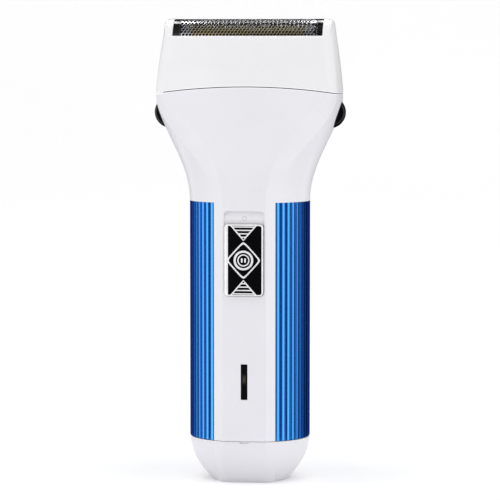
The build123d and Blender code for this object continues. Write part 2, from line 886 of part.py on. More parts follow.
rotor_bottom = can_bottom + (motor_can_length - motor_wall - rotor_length) / 2
with BuildPart() as motor_magnets:
    for side in (-1, 1):
        with BuildSketch(Plane.XY.offset(rotor_bottom)):
            Circle(motor_half_width - motor_wall - press_gap)
            Circle(rotor_radius + air_gap, mode=Mode.SUBTRACT)
            with Locations((side * (magnet_inner + motor_half_width / 2), 0)):
                Rectangle(motor_half_width, 2 * magnet_half_depth, mode=Mode.INTERSECT)
        extrude(amount=rotor_length)
keep(motor_magnets, "motor_magnets")

with BuildPart() as motor_rotor:
    with BuildSketch(Plane.XY.offset(rotor_bottom)):
        Circle(rotor_radius)
        Circle(shaft_radius + press_gap, mode=Mode.SUBTRACT)
        with PolarLocations(pole_gap_offset, rotor_poles):
            Rectangle(pole_gap_length, pole_gap_width, mode=Mode.SUBTRACT)
    extrude(amount=rotor_length)
keep(motor_rotor, "motor_rotor")

with BuildPart() as motor_shaft:
    drum(0, 0, shelf_top + shaft_inset, hub_top - shelf_top - shaft_inset, shaft_radius)
keep(motor_shaft, "motor_shaft")

with BuildPart() as motor_bushes:
    for low, high in ((shelf_top, can_bottom), (can_top - motor_wall, boss_top)):
        tube_between(low, high - low, bush_radius - press_gap, shaft_radius + running_gap)
keep(motor_bushes, "motor_bushes")

terminal_z = shelf_top + motor_cap_length / 2
with BuildPart() as motor_terminals:
    for side in (-1, 1):
        x = side * terminal_offset
        block(
            (x - terminal_width / 2, x + terminal_width / 2),
            (-board_back + fit_gap, -motor_half_depth),
            (terminal_z - terminal_thickness / 2, terminal_z + terminal_thickness / 2),
        )
keep(motor_terminals, "motor_terminals")

# Drive frame on top of the motor, with ears for the two guide rods
with BuildPart() as drive_frame:
    block((-ear_outer, ear_outer), (-drive_half_depth, drive_half_depth), (can_top, plate_top))
    for side in (-1, 1):
        low, high = sorted((side * ear_inner, side * ear_outer))
        block((low, high), (-drive_half_depth, drive_half_depth), (can_top, bridge_top))
    for side in (-1, 1):
        y = side * rod_offset
        drum_along_x(y, rod_z, -ear_outer, 2 * ear_outer, rod_radius + press_gap, mode=Mode.SUBTRACT)
        x = side * motor_screw_offset
        drum(x, 0, can_top, drive_plate, motor_screw_radius + fit_gap, mode=Mode.SUBTRACT)
    drum(0, 0, can_top, drive_plate, motor_boss_radius + fit_gap, mode=Mode.SUBTRACT)
keep(drive_frame, "drive_frame")

with BuildPart() as motor_screws:
    for side in (-1, 1):
        x = side * motor_screw_offset
        drum(x, 0, can_top - motor_wall, drive_plate + motor_wall, motor_screw_radius)
        drum(x, 0, plate_top, motor_screw_head_height, motor_screw_head)
keep(motor_screws, "motor_screws")

with BuildPart() as guide_rods:
    for side in (-1, 1):
        drum_along_x(side * rod_offset, rod_z, -ear_outer, 2 * ear_outer, rod_radius)
keep(guide_rods, "guide_rods")

# Crank on the shaft: a hub with an off-centre pin
with BuildPart() as crank:
    drum(0, 0, hub_bottom, hub_height, hub_radius)
    drum(crank_offset, 0, hub_top - crank_pin_root, crank_pin_length + crank_pin_root, crank_pin_radius)
    drum(0, 0, hub_bottom, hub_height, shaft_radius + press_gap, mode=Mode.SUBTRACT)
keep(crank, "crank")

# Bridge on the guide rods: the crank pin works in its pocket
pocket_half_x = crank_offset + crank_pin_radius + stroke + seat_gap
pocket_half_y = crank_offset + crank_pin_radius + seat_gap
with BuildPart() as oscillating_bridge:
    block(
        (-bridge_half_width, bridge_half_width),
        (-bridge_half_depth, bridge_half_depth),
        (bridge_bottom, bridge_top),
    )
    block(
        (-pocket_half_x, pocket_half_x),
        (-pocket_half_y, pocket_half_y),
        (bridge_bottom, pocket_top),
        mode=Mode.SUBTRACT,
    )
    for side in (-1, 1):
        y = side * rod_offset
        drum_along_x(y, rod_z, -reach, 2 * reach, rod_radius + running_gap, mode=Mode.SUBTRACT)
    drum(0, 0, bridge_top - post_socket, post_socket, post_radius + press_gap, mode=Mode.SUBTRACT)
keep(oscillating_bridge, "oscillating_bridge")

with BuildPart() as drive_post:
    drum(0, 0, bridge_top - post_socket, post_top - bridge_top + post_socket, post_radius)
    drum(0, 0, flange_bottom, post_flange_height, post_flange_radius)
keep(drive_post, "drive_post")

# Cutter block: carrier on the post, its spring, and a row of half-ring blades
with BuildPart() as cutter_spring:
    coil_inner = post_radius + seat_gap
    tube_between(flange_top, boss_bottom - flange_top, coil_inner + spring_wall, coil_inner)
keep(cutter_spring, "cutter_spring")

blade_radius = foil_radius - foil_thickness - cutter_gap
blade_inner = blade_radius - blade_depth
core_radius = blade_inner - fit_gap
with BuildPart() as cutter_carrier:
    with BuildSketch(Plane.YZ):
        with Locations((0, foil_z)):
            Circle(core_radius)
        with Locations((0, foil_z - reach / 2)):
            Rectangle(reach, reach, mode=Mode.SUBTRACT)
        with Locations((0, foil_z - carrier_depth / 2)):
            Rectangle(2 * core_radius, carrier_depth)
    extrude(amount=cutter_half_length, both=True)
    drum(0, 0, boss_bottom, carrier_boss_height, carrier_boss_radius)
    bore_depth = post_top + cutter_float + post_end_gap - boss_bottom
    drum(0, 0, boss_bottom, bore_depth, post_radius + running_gap, mode=Mode.SUBTRACT)
keep(cutter_carrier, "cutter_carrier")

with BuildPart() as cutter_blades:
    for blade in range(blade_count):
        x = (blade - (blade_count - 1) / 2) * blade_pitch - blade_thickness / 2
        with BuildSketch(Plane.YZ.offset(x)):
            with Locations((0, foil_z)):
                Circle(blade_radius)
                Circle(blade_inner, mode=Mode.SUBTRACT)
            with Locations((0, foil_z - reach / 2)):
                Rectangle(reach, reach, mode=Mode.SUBTRACT)
        extrude(amount=blade_thickness)
keep(cutter_blades, "cutter_blades")

# Deck that closes the neck, with a collar for the head and stops for the release springs
low_sizes = upper_sizes(deck_bottom, wall + seat_gap)
deck_sizes = upper_sizes(deck_top, wall + seat_gap)
for size in ("half_width", "corner", "panel"):
    deck_sizes[size] = min(deck_sizes[size], low_sizes[size])
collar_top = deck_top + deck_collar_height
collar_inset = head_wall + slide_gap
post_hole_half_length = post_radius + stroke + 2 * seat_gap
post_hole_half_width = post_radius + 2 * seat_gap
with BuildPart() as top_deck:
    with BuildSketch(Plane.XY.offset(deck_bottom)):
        draw_outline(deck_sizes)
    extrude(amount=deck_thickness)
    with BuildSketch(Plane.XY.offset(deck_top)):
        draw_outline(upper_sizes(collar_top, collar_inset))
        draw_outline(upper_sizes(collar_top, collar_inset + deck_collar_thickness), mode=Mode.SUBTRACT)
    extrude(amount=deck_collar_height)
    with BuildSketch(Plane.XY.offset(deck_bottom)):
        draw_stadium(post_hole_half_length, post_hole_half_width)
    extrude(amount=deck_thickness, mode=Mode.SUBTRACT)
    for side in (-1, 1):
        low, high = sorted((side * spring_in, side * (spring_in - chassis_wall)))
        block((low, high), (-button_radius, button_radius), (button_z - button_radius, deck_top))
keep(top_deck, "top_deck")

with BuildPart() as post_seal:
    with BuildSketch(Plane.XY.offset(deck_top)):
        draw_stadium(post_hole_half_length + seal_width, post_hole_half_width + seal_width)
        draw_stadium(post_hole_half_length, post_hole_half_width, mode=Mode.SUBTRACT)
    extrude(amount=seal_height)
keep(post_seal, "post_seal")

# Head frame: the cap that carries the foil, open below and along the top
crown_z = lip_z + crown_shoulder
crown_y = sqrt(crown_radius**2 - (crown_z - (top - crown_radius)) ** 2)
cavity_top = lip_z - 2 * head_wall
round_x = upper_sizes(top)["half_width"] - ear_round


def round_point(side, angle):
    """Point on the arc that rounds over an ear, by its angle above the horizontal."""
    x = round_x + ear_round * cos(radians(angle))
    return side * x, top - ear_round + ear_round * sin(radians(angle))


with BuildPart() as head_frame:
    add(upper_form.part)
    below_seam(Mode.SUBTRACT, head_seam)
    with BuildSketch(Plane.YZ):
        with BuildLine():
            ThreePointArc((-crown_y, crown_z), (0, top), (crown_y, crown_z))
            Line((crown_y, crown_z), (reach, crown_z - (reach - crown_y)))
            Line((reach, crown_z - (reach - crown_y)), (-reach, crown_z - (reach - crown_y)))
            Line((-reach, crown_z - (reach - crown_y)), (-crown_y, crown_z))
        make_face()
    extrude(amount=reach, both=True, mode=Mode.INTERSECT)
    # The ears are rounded over at their outer ends
    with BuildSketch(Plane.XZ):
        with BuildLine():
            Line((-round_x, top), (round_x, top))
            for side in (-1, 1):
                arc = [round_point(side, 90 - ear_slope * share) for share in (0, 0.5, 1)]
                ThreePointArc(*arc)
                low = (arc[2][0] + side * reach, arc[2][1] - reach * tan(radians(ear_slope)))
                Line(arc[2], low)
            Line((-low[0], low[1]), low)
        make_face()
    extrude(amount=reach, both=True, mode=Mode.INTERSECT)
    for level in [seam_side - overlap] + head_levels[:-2] + [cavity_top]:
        with BuildSketch(Plane.XY.offset(level)):
            draw_outline(upper_sizes(level, head_wall))
    loft(mode=Mode.SUBTRACT)
    block(
        (-opening_half_length, opening_half_length),
        (-opening_half_width, opening_half_width),
        (cavity_top - head_wall, top + overlap),
        mode=Mode.SUBTRACT,
    )
    block(
        (-opening_half_length, opening_half_length),
        (-reach, reach),
        (lip_z, top + overlap),
        mode=Mode.SUBTRACT,
    )
keep(head_frame, "head_frame")

# Foil cassette: black end plates, joined by rails that clamp the foil's skirts from outside
skirt_z = foil_z - foil_skirt
rail_low = skirt_z - rail_drop
rail_inner = foil_radius + fit_gap
rail_outer = rail_inner + rail_width
plate_inner = foil_half_length + fit_gap
plate_outer = plate_inner + end_plate
with BuildPart() as foil_cassette:
    for side in (-1, 1):
        start = plate_inner if side > 0 else -plate_outer
        with BuildSketch(Plane.YZ.offset(start)):
            with Locations((0, foil_z)):
                Circle(foil_radius)
            with Locations((0, (foil_z + rail_low) / 2)):
                Rectangle(2 * foil_radius, foil_z - rail_low)
            with Locations((0, rail_low + rail_height / 2)):
                Rectangle(2 * rail_outer, rail_height)
        extrude(amount=end_plate)
        inner, outer = sorted((side * rail_inner, side * rail_outer))
        block((-plate_outer, plate_outer), (inner, outer), (rail_low, rail_low + rail_height))
keep(foil_cassette, "foil_cassette")

with BuildPart() as shaving_foil:
    inner_radius = foil_radius - foil_thickness
    with BuildSketch(Plane.YZ):
        with BuildLine():
            ThreePointArc((-foil_radius, foil_z), (0, foil_z + foil_radius), (foil_radius, foil_z))
            Line((foil_radius, foil_z), (foil_radius, skirt_z))
            Line((foil_radius, skirt_z), (inner_radius, skirt_z))
            Line((inner_radius, skirt_z), (inner_radius, foil_z))
            ThreePointArc((inner_radius, foil_z), (0, foil_z + inner_radius), (-inner_radius, foil_z))
            Line((-inner_radius, foil_z), (-inner_radius, skirt_z))
            Line((-inner_radius, skirt_z), (-foil_radius, skirt_z))
            Line((-foil_radius, skirt_z), (-foil_radius, foil_z))
        make_face()
    extrude(amount=foil_half_length, both=True)
keep(shaving_foil, "shaving_foil")

# Release buttons: domed caps, flanged inside, each on a small spring
with BuildPart() as right_release_button:
    drum_along_x(0, button_z, flange_in, reach, button_radius)
    with Locations((dome_x, 0, dome_z)):
        Sphere(dome_radius, mode=Mode.INTERSECT)
    drum_along_x(0, button_z, flange_in, button_flange_thickness, button_radius + button_flange)
    drum_along_x(0, button_z, flange_in - button_spigot_length, button_spigot_length, button_spigot_radius)
keep(right_release_button, "right_release_button")

with BuildPart() as left_release_button:
    mirror(right_release_button.part, about=Plane.YZ)
keep(left_release_button, "left_release_button")

with BuildPart() as right_release_spring:
    coil_inner = button_spigot_radius + seat_gap
    drum_along_x(0, button_z, spring_in, release_spring_length, coil_inner + release_spring_wall)
    drum_along_x(0, button_z, spring_in, release_spring_length, coil_inner, mode=Mode.SUBTRACT)
keep(right_release_spring, "right_release_spring")

with BuildPart() as left_release_spring:
    mirror(right_release_spring.part, about=Plane.YZ)
keep(left_release_spring, "left_release_spring")

# Screws that draw the rear shell onto the front shell
with BuildPart() as body_screws:
    for side in (-1, 1):
        x = side * screw_offset
        drum_along_y(x, screw_z, -screw_bite, screw_bite + screw_back, screw_radius)
        drum_along_y(x, screw_z, screw_back, screw_head_height, screw_head_radius)
keep(body_screws, "body_screws")
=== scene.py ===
import json
import math

import bpy
import numpy as np
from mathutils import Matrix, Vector

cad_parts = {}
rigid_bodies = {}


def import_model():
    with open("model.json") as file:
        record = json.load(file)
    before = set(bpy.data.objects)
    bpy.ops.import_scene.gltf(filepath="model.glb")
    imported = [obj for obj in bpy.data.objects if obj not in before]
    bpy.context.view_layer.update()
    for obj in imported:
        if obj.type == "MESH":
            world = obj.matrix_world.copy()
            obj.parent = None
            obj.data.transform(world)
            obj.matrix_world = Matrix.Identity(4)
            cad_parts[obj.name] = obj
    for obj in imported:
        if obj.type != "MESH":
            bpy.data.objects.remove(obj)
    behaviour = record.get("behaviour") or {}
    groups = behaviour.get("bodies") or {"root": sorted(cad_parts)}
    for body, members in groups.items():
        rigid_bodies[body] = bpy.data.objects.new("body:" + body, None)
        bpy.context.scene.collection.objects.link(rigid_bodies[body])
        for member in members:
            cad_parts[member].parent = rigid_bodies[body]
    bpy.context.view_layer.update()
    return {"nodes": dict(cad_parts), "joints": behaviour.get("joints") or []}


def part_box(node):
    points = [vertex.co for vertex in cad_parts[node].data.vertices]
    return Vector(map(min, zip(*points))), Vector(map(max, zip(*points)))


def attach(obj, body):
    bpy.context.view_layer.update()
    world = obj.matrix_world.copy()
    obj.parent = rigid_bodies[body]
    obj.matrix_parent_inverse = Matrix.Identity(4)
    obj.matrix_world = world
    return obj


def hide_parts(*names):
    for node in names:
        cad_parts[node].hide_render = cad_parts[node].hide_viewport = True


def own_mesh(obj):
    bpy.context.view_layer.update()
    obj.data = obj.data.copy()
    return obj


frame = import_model()

bl_info = {
    "name": "Foil shaver looks",
    "version": (1, 0, 0),
    "blender": (4, 5, 0),
    "location": "View3D > Sidebar > Shaver",
    "description": "Dresses the foil shaver: finishes, pierced foil, ornamented slide and studio stage",
    "category": "Object",
}

MM = 0.001

# Places of the solids that the new pieces stand on, in metres
FOIL_LOW, FOIL_HIGH = (np.array(corner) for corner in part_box("shaving_foil"))
SLIDE_LOW, SLIDE_HIGH = (np.array(corner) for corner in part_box("power_slide"))
SHELL_LOW, SHELL_HIGH = (np.array(corner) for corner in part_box("front_shell"))
HEAD_LOW, HEAD_HIGH = (np.array(corner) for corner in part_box("head_frame"))
WINDOW_LOW, WINDOW_HIGH = (np.array(corner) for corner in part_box("led_window"))

# How far the slide's plate reaches back from its front, and the floor of its pocket behind that
SLIDE_THICKNESS = 3.1 * MM
POCKET_FLOOR_Y = float(SLIDE_LOW[1]) + 3.2 * MM

# Softboxes: name, place and size in metres, power in watts
SOFTBOXES = (
    ("left_softbox", (-1.3, -0.25, 0.5), (0.45, 0.9), 1.7),
    ("right_softbox", (1.3, -0.25, 0.45), (0.45, 0.9), 1.6),
    ("top_softbox", (0.0, -0.35, 1.3), (1.1, 0.7), 2.4),
)

# Glow of the gloss screen: place as a share of the half turn from front to back, and tone
SCREEN_TONES = (
    (0.0, 0.2), (0.05, 0.22), (0.09, 1.1), (0.17, 1.6), (0.29, 1.5), (0.35, 0.5),
    (0.41, 0.08), (0.58, 0.03), (0.62, 1.3), (0.66, 1.3), (0.7, 0.03), (1.0, 0.03),
)


def length(name, text, default, low=0.0, high=1.0):
    """A size in metres that a user may change."""
    return bpy.props.FloatProperty(
        name=name, description=text, default=default, min=low, max=high, precision=5,
        unit="LENGTH", subtype="DISTANCE")


def share(name, text, default, low=0.0, high=1.0):
    """A plain number between two limits."""
    return bpy.props.FloatProperty(name=name, description=text, default=default, min=low, max=high)


def tint(name, text, default):
    """A linear colour."""
    return bpy.props.FloatVectorProperty(
        name=name, description=text, default=default, size=3, min=0.0, max=1.0, subtype="COLOR")


class ShaverFoilSettings(bpy.types.PropertyGroup):
    """Sizes of the pierced foil."""
    radius: length("Arch radius", "Outer radius of the foil's arch", 7.6 * MM)
    thickness: length("Thickness", "Thickness of the sheet", 0.15 * MM)
    pitch: length("Hole pitch", "Distance between holes along the foil", 1.16 * MM)
    row: length("Row height", "Distance between rows of holes", 1.0 * MM)
    web: share("Hole share", "Size of a hole as a share of its cell", 0.86)
    slant: share("Slant", "How far each hole leans along the foil", 0.16)
    margin: length("Plain end", "Unpierced strip at each end", 0.4 * MM)
    start: bpy.props.FloatProperty(
        name="First row", description="Angle on the arch where the holes begin",
        default=math.radians(6.0), subtype="ANGLE")


class ShaverSlideSettings(bpy.types.PropertyGroup):
    """Sizes of the ornament on the slide."""
    corner: length("Corner radius", "Radius of the slide's corners", 1.3 * MM)
    edge: length("Edge radius", "Rounding of the front edge", 0.8 * MM)
    relief: length("Relief", "Height of the raised lines over the field", 0.38 * MM)
    line: length("Line width", "Width of the diamond's lines", 0.5 * MM)
    side_line: length("Triangle line", "Width of the triangles' side lines", 0.45 * MM)
    ring: length("Outer ring", "Radius of the larger ring", 2.98 * MM)
    small_ring: length("Inner ring", "Radius of the smaller ring", 1.86 * MM)
    step: length("Grid step", "Spacing of the surface grid", 0.1 * MM, 0.00002)


class ShaverSpringSettings(bpy.types.PropertyGroup):
    """Sizes of the coil springs."""
    wire: length("Wire", "Diameter of the wire", 0.7 * MM)
    inset: length("Inset", "Room round the outside of the coil", 0.1 * MM)
    seat: length("Seat", "Room between the end turns and what they press on", 0.02 * MM)
    spread: share("Spread", "Height of a turn as a multiple of the wire", 1.35, 1.0, 10.0)


class ShaverColourSettings(bpy.types.PropertyGroup):
    """Colours of the finishes that show."""
    shell: tint("Shell white", "Satin plastic of the body", (0.765, 0.758, 0.80))
    head: tint("Head white", "Satin plastic of the head frame", (0.80, 0.80, 0.812))
    # Painted light: a paler white on the seam edges and the pocket floor, lifting the shade that falls
    # there.
    painted_light_white: tint("Painted light white", "Paler white painted as light on seam edges and the pocket floor", (0.93, 0.925, 0.955))
    grip: tint("Grip blue", "Anodised metal of the ribs", (0.07, 0.39, 1.0))
    # Painted shade: deeper blue at the middle of each side.
    painted_side_shade: tint("Flank blue", "Painted shade at the middle of each side", (0.0, 0.05, 0.28))
    # Painted shade: darker blue in the grooves between the ribs.
    groove: tint("Groove blue", "Anodised metal between the ribs, darkened as painted shade", (0.0, 0.03, 0.26))
    silver: tint("Foil silver", "Bare metal of the foil", (0.76, 0.76, 0.81))
    gold: tint("Foil gold", "Warm metal in the middle of the foil", (0.68, 0.55, 0.27))
    # Near-white paint on the raised chrome lines: partly plating, partly painted reflection.
    chrome_and_painted_shine: tint("Chrome", "Raised lines of the slide", (0.95, 0.95, 0.96))
    field: tint("Slide field", "Dark field between the raised lines", (0.002, 0.002, 0.003))


class ShaverStageSettings(bpy.types.PropertyGroup):
    """Camera, lights and floor."""
    distance: length("Camera distance", "From the shaver's axis to the camera", 0.860, 0.1, 5.0)
    height: length("Camera height", "Height of the camera over the floor", 0.1482, 0.0, 2.0)
    azimuth: bpy.props.FloatProperty(
        name="Azimuth", description="Turn of the camera to the viewer's right",
        default=math.radians(6.819), subtype="ANGLE")
    pitch: bpy.props.FloatProperty(
        name="Pitch", description="How far the camera looks down",
        default=math.radians(4.597), subtype="ANGLE")
    lens: bpy.props.FloatProperty(
        name="Lens", description="Focal length on a 36 mm sensor, in millimetres", default=180.03, min=10.0)
    ambient: share("Ambient", "Strength of the even light", 0.90, 0.0, 5.0)
    floor: tint("Floor", "Colour of the floor", (0.97, 0.97, 0.972))


class Finish:
    """A node material on Object coordinates, built up by small named steps."""

    def __init__(self, name, colour, metallic=0.0, roughness=0.4, **sockets):
        """Starts from a principled shader with constants on its own sockets."""
        self.material = bpy.data.materials.new(name)
        self.material.use_nodes = True
        self.tree = self.material.node_tree
        self.shader = self.tree.nodes["Principled BSDF"]
        self.colour = tuple(colour)
        self.put("Base Color", (*self.colour, 1.0))
        self.put("Metallic", metallic)
        self.put("Roughness", roughness)
        for socket, value in sockets.items():
            self.put(socket.replace("_", " "), value)
        self.material.diffuse_color = (*self.colour, 1.0)
        self.place = self.node("ShaderNodeTexCoord").outputs["Object"]

    def put(self, socket, value):
        """Sets a shader socket's constant, or links a node's output to it."""
        if isinstance(value, bpy.types.NodeSocket):
            self.tree.links.new(value, self.shader.inputs[socket])
        else:
            self.shader.inputs[socket].default_value = value

    def node(self, kind, inputs=None, **options):
        """Adds a node, sets its options, and fills its inputs with values or links."""
        made = self.tree.nodes.new(kind)
        for key, value in options.items():
            setattr(made, key, value)
        for key, value in (inputs or {}).items():
            if isinstance(value, bpy.types.NodeSocket):
                self.tree.links.new(value, made.inputs[key])
            else:
                made.inputs[key].default_value = value
        return made

    def math(self, operation, first, second=0.0):
        """One arithmetic step on numbers."""
        made = self.node("ShaderNodeMath", {0: first, 1: second}, operation=operation)
        return made.outputs[0]

    def ramp(self, value, low, high, to_low=0.0, to_high=1.0):
        """A smooth step of a number from one range to another."""
        made = self.node(
            "ShaderNodeMapRange",
            {"Value": value, "From Min": low, "From Max": high, "To Min": to_low, "To Max": to_high},
            interpolation_type="SMOOTHSTEP")
        return made.outputs["Result"]

    def tones(self, value, stops):
        """A grey that runs through a list of places and tones."""
        made = self.node("ShaderNodeValToRGB", {0: value})
        made.color_ramp.interpolation = "EASE"
        elements = made.color_ramp.elements
        for element, (position, tone) in zip(elements, (stops[0], stops[-1])):
            element.position, element.color = position, (tone, tone, tone, 1.0)
        for position, tone in stops[1:-1]:
            elements.new(position).color = (tone, tone, tone, 1.0)
        return made.outputs["Color"]

    def axes(self):
        """The three object coordinates as numbers."""
        made = self.node("ShaderNodeSeparateXYZ", {"Vector": self.place})
        return made.outputs["X"], made.outputs["Y"], made.outputs["Z"]

    def span(self, first, second):
        """Length of a step made of two numbers at right angles."""
        flat = self.node("ShaderNodeCombineXYZ", {"X": first, "Y": second})
        made = self.node("ShaderNodeVectorMath", {0: flat.outputs[0]}, operation="LENGTH")
        return made.outputs["Value"]

    def noise(self, scale, detail=3.0, stretch=(1.0, 1.0, 1.0)):
        """Cloudy noise at a number of cells per metre, drawn out along an axis by stretch."""
        mapped = self.node("ShaderNodeMapping", {"Vector": self.place, "Scale": stretch})
        made = self.node(
            "ShaderNodeTexNoise", {"Vector": mapped.outputs[0], "Scale": scale, "Detail": detail})
        return made.outputs["Fac"]

    def mix(self, factor, first, second):
        """A colour between two colours."""
        made = self.node("ShaderNodeMix", {"Factor": factor}, data_type="RGBA")
        for socket, value in ((6, first), (7, second)):
            if isinstance(value, bpy.types.NodeSocket):
                self.tree.links.new(value, made.inputs[socket])
            else:
                made.inputs[socket].default_value = (*value, 1.0)
        return made.outputs[2]

    def mottle(self, scale, depth):
        """Varies the colour a little, from darker to lighter patches."""
        darker, lighter = (
            [min(1.0, c * factor) for c in self.colour] for factor in (1.0 - depth, 1.0 + depth))
        self.tone = self.mix(self.ramp(self.noise(scale), 0.3, 0.7), darker, lighter)
        self.put("Base Color", self.tone)

    def fade(self, part, colour):
        """Takes the colour towards another, by a share from 0 to 1."""
        self.tone = self.mix(part, self.tone, colour)
        self.put("Base Color", self.tone)

    def polish(self, scale, low, high, stretch=(1.0, 1.0, 1.0)):
        """Varies the roughness between two values."""
        self.put("Roughness", self.ramp(self.noise(scale, 4.0, stretch), 0.25, 0.75, low, high))

    def grain(self, scale, depth, stretch=(1.0, 1.0, 1.0)):
        """Raises fine grain of a depth in metres."""
        made = self.node(
            "ShaderNodeBump",
            {"Strength": 0.4, "Distance": depth, "Height": self.noise(scale, 2.0, stretch)})
        self.put("Normal", made.outputs[0])


def satin(name, colour, roughness=0.38, gloss=0.45):
    """Moulded plastic: even colour with faint cloud, satin sheen and spark-eroded grain."""
    made = Finish(name, colour, roughness=roughness, Specular_IOR_Level=gloss)
    made.mottle(60.0, 0.012)
    made.polish(900.0, roughness - 0.06, roughness + 0.06)
    made.grain(6000.0, 0.00001)
    return made


def moulded(name, colour, roughness=0.38, gloss=0.45):
    """The material of moulded plastic that needs nothing more."""
    return satin(name, colour, roughness, gloss).material


def turned(name, colour, roughness=0.28, along=(1.0, 1.0, 0.08)):
    """Bare or plated metal with fine marks drawn along one axis."""
    made = Finish(name, colour, metallic=1.0, roughness=roughness)
    made.mottle(400.0, 0.08)
    made.polish(2500.0, roughness - 0.1, roughness + 0.12, along)
    made.grain(5000.0, 0.000008, along)
    return made.material


def banded(name, first, second, spacing, metallic, roughness):
    """Two colours in fine level bands, as in stacked sheets or wound wire."""
    made = Finish(name, first, metallic=metallic, roughness=roughness)
    wave = made.math("SINE", made.math("MULTIPLY", made.axes()[2], 2.0 * math.pi / spacing))
    band = made.ramp(wave, -0.4, 0.4)
    made.put("Base Color", made.mix(band, first, second))
    made.polish(1500.0, roughness - 0.08, roughness + 0.1)
    bump = made.node("ShaderNodeBump", {"Strength": 0.5, "Distance": spacing * 0.2, "Height": band})
    made.put("Normal", bump.outputs[0])
    return made.material


def dress(material, *nodes):
    """Gives a material to CAD nodes."""
    for name in nodes:
        slots = frame["nodes"][name].data.materials
        slots.clear()
        slots.append(material)


def mesh_piece(name, points, faces, material, body, smooth=True):
    """Puts whole arrays of points and faces into a mesh object at the origin, riding on a body."""
    mesh = bpy.data.meshes.new(name)
    mesh.from_pydata(points.tolist(), [], faces)
    mesh.validate()
    mesh.update()
    if smooth:
        mesh.shade_smooth()
    else:
        mesh.shade_flat()
    mesh.materials.append(material)
    piece = bpy.data.objects.new(name, mesh)
    bpy.context.collection.objects.link(piece)
    if body:
        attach(piece, body)
    return piece


def grid_faces(rows, columns):
    """Quads of a grid whose points are stored row by row."""
    corner = (np.arange(rows - 1)[:, None] * columns + np.arange(columns - 1)[None, :]).ravel()
    return np.stack([corner, corner + 1, corner + columns + 1, corner + columns], axis=1).tolist()


class SHAVER_OT_shell_finish(bpy.types.Operator):
    """White satin plastic on the shells, the base and the head frame"""
    bl_idname = "shaver.shell_finish"
    bl_label = "Shell finish"

    def execute(self, context):
        """Gives the outer plastic its finish, with painted light: paler along the seams and on the pocket
        floor, where their shade falls.
        """
        colours = context.scene.shaver_colours
        shell = satin("shell white", colours.shell, 0.36)
        # Painted light: paler white along both seams and on the pocket floor.
        painted_seam_light = shell.math("MAXIMUM", self.arch_edge(shell), self.foot_edge(shell))
        shell.fade(shell.math("MAXIMUM", painted_seam_light, self.pocket_floor(shell)), colours.painted_light_white)
        dress(shell.material, "front_shell", "rear_shell")

        base = satin("base white", colours.shell, 0.36)
        # Painted shade: the base's white darkens towards the floor.
        foot_low, foot_high, foot_shade_tone = -2.0 * MM, 12.0 * MM, 0.84
        foot = base.ramp(base.axes()[2], foot_low, foot_high, 1.0, 0.0)
        base.fade(foot, [foot_shade_tone * c for c in colours.shell])
        # Painted light: paler white along the seam over the base.
        base.fade(self.foot_edge(base), colours.painted_light_white)
        dress(base.material, "base_cap")

        head = satin("head white", colours.head, 0.33)
        # Painted light: paler white along the arched seam under the head.
        head.fade(self.arch_edge(head), colours.painted_light_white)
        dress(head.material, "head_frame")
        return {"FINISHED"}

    @staticmethod
    def arch_edge(made):
        """1 along the arched seam under the head, an arc about a point far below it, and 0 elsewhere."""
        rise, gap, reach = 2.4 * MM, 0.3 * MM, 0.45 * MM
        half_width = 0.5 * (HEAD_HIGH[0] - HEAD_LOW[0])
        radius = float(half_width ** 2 + rise ** 2) / (2.0 * rise)
        x, _, z = made.axes()
        above = made.math("SUBTRACT", z, float(SHELL_HIGH[2]) - radius)
        away = made.math("ABSOLUTE", made.math("SUBTRACT", made.span(x, above), radius + 0.5 * gap))
        return made.ramp(away, 0.5 * gap, 0.5 * gap + reach, 1.0, 0.0)

    @staticmethod
    def foot_edge(made):
        """1 along the level seam over the base, and 0 elsewhere."""
        half_gap, reach = 0.125 * MM, 0.15 * MM
        above = made.math("SUBTRACT", made.axes()[2], float(SHELL_LOW[2]) - half_gap)
        away = made.math("ABSOLUTE", above)
        return made.ramp(away, half_gap, half_gap + reach, 1.0, 0.0)

    @staticmethod
    def pocket_floor(made):
        """1 on the floor of the slide's pocket, less towards its upper end, and 0 elsewhere."""
        x, y, z = made.axes()
        top, bottom = float(SLIDE_HIGH[2]), float(SLIDE_LOW[2])
        floor_near, floor_far = 0.2 * MM, 1.0 * MM
        half_width, wall_soft = 6.9 * MM, 0.3 * MM
        fade_start, fade_end, foot_soft = 1.0 * MM, 4.6 * MM, 1.0 * MM
        away = made.math("ABSOLUTE", made.math("SUBTRACT", y, POCKET_FLOOR_Y))
        deep = made.ramp(away, floor_near, floor_far, 1.0, 0.0)
        inner = made.ramp(made.math("ABSOLUTE", x), half_width, half_width + wall_soft, 1.0, 0.0)
        upper = made.ramp(z, top + fade_start, top + fade_end, 1.0, 0.0)
        lower = made.ramp(z, bottom - foot_soft, bottom)
        sunk = made.math("MULTIPLY", deep, inner)
        return made.math("MULTIPLY", sunk, made.math("MULTIPLY", upper, lower))


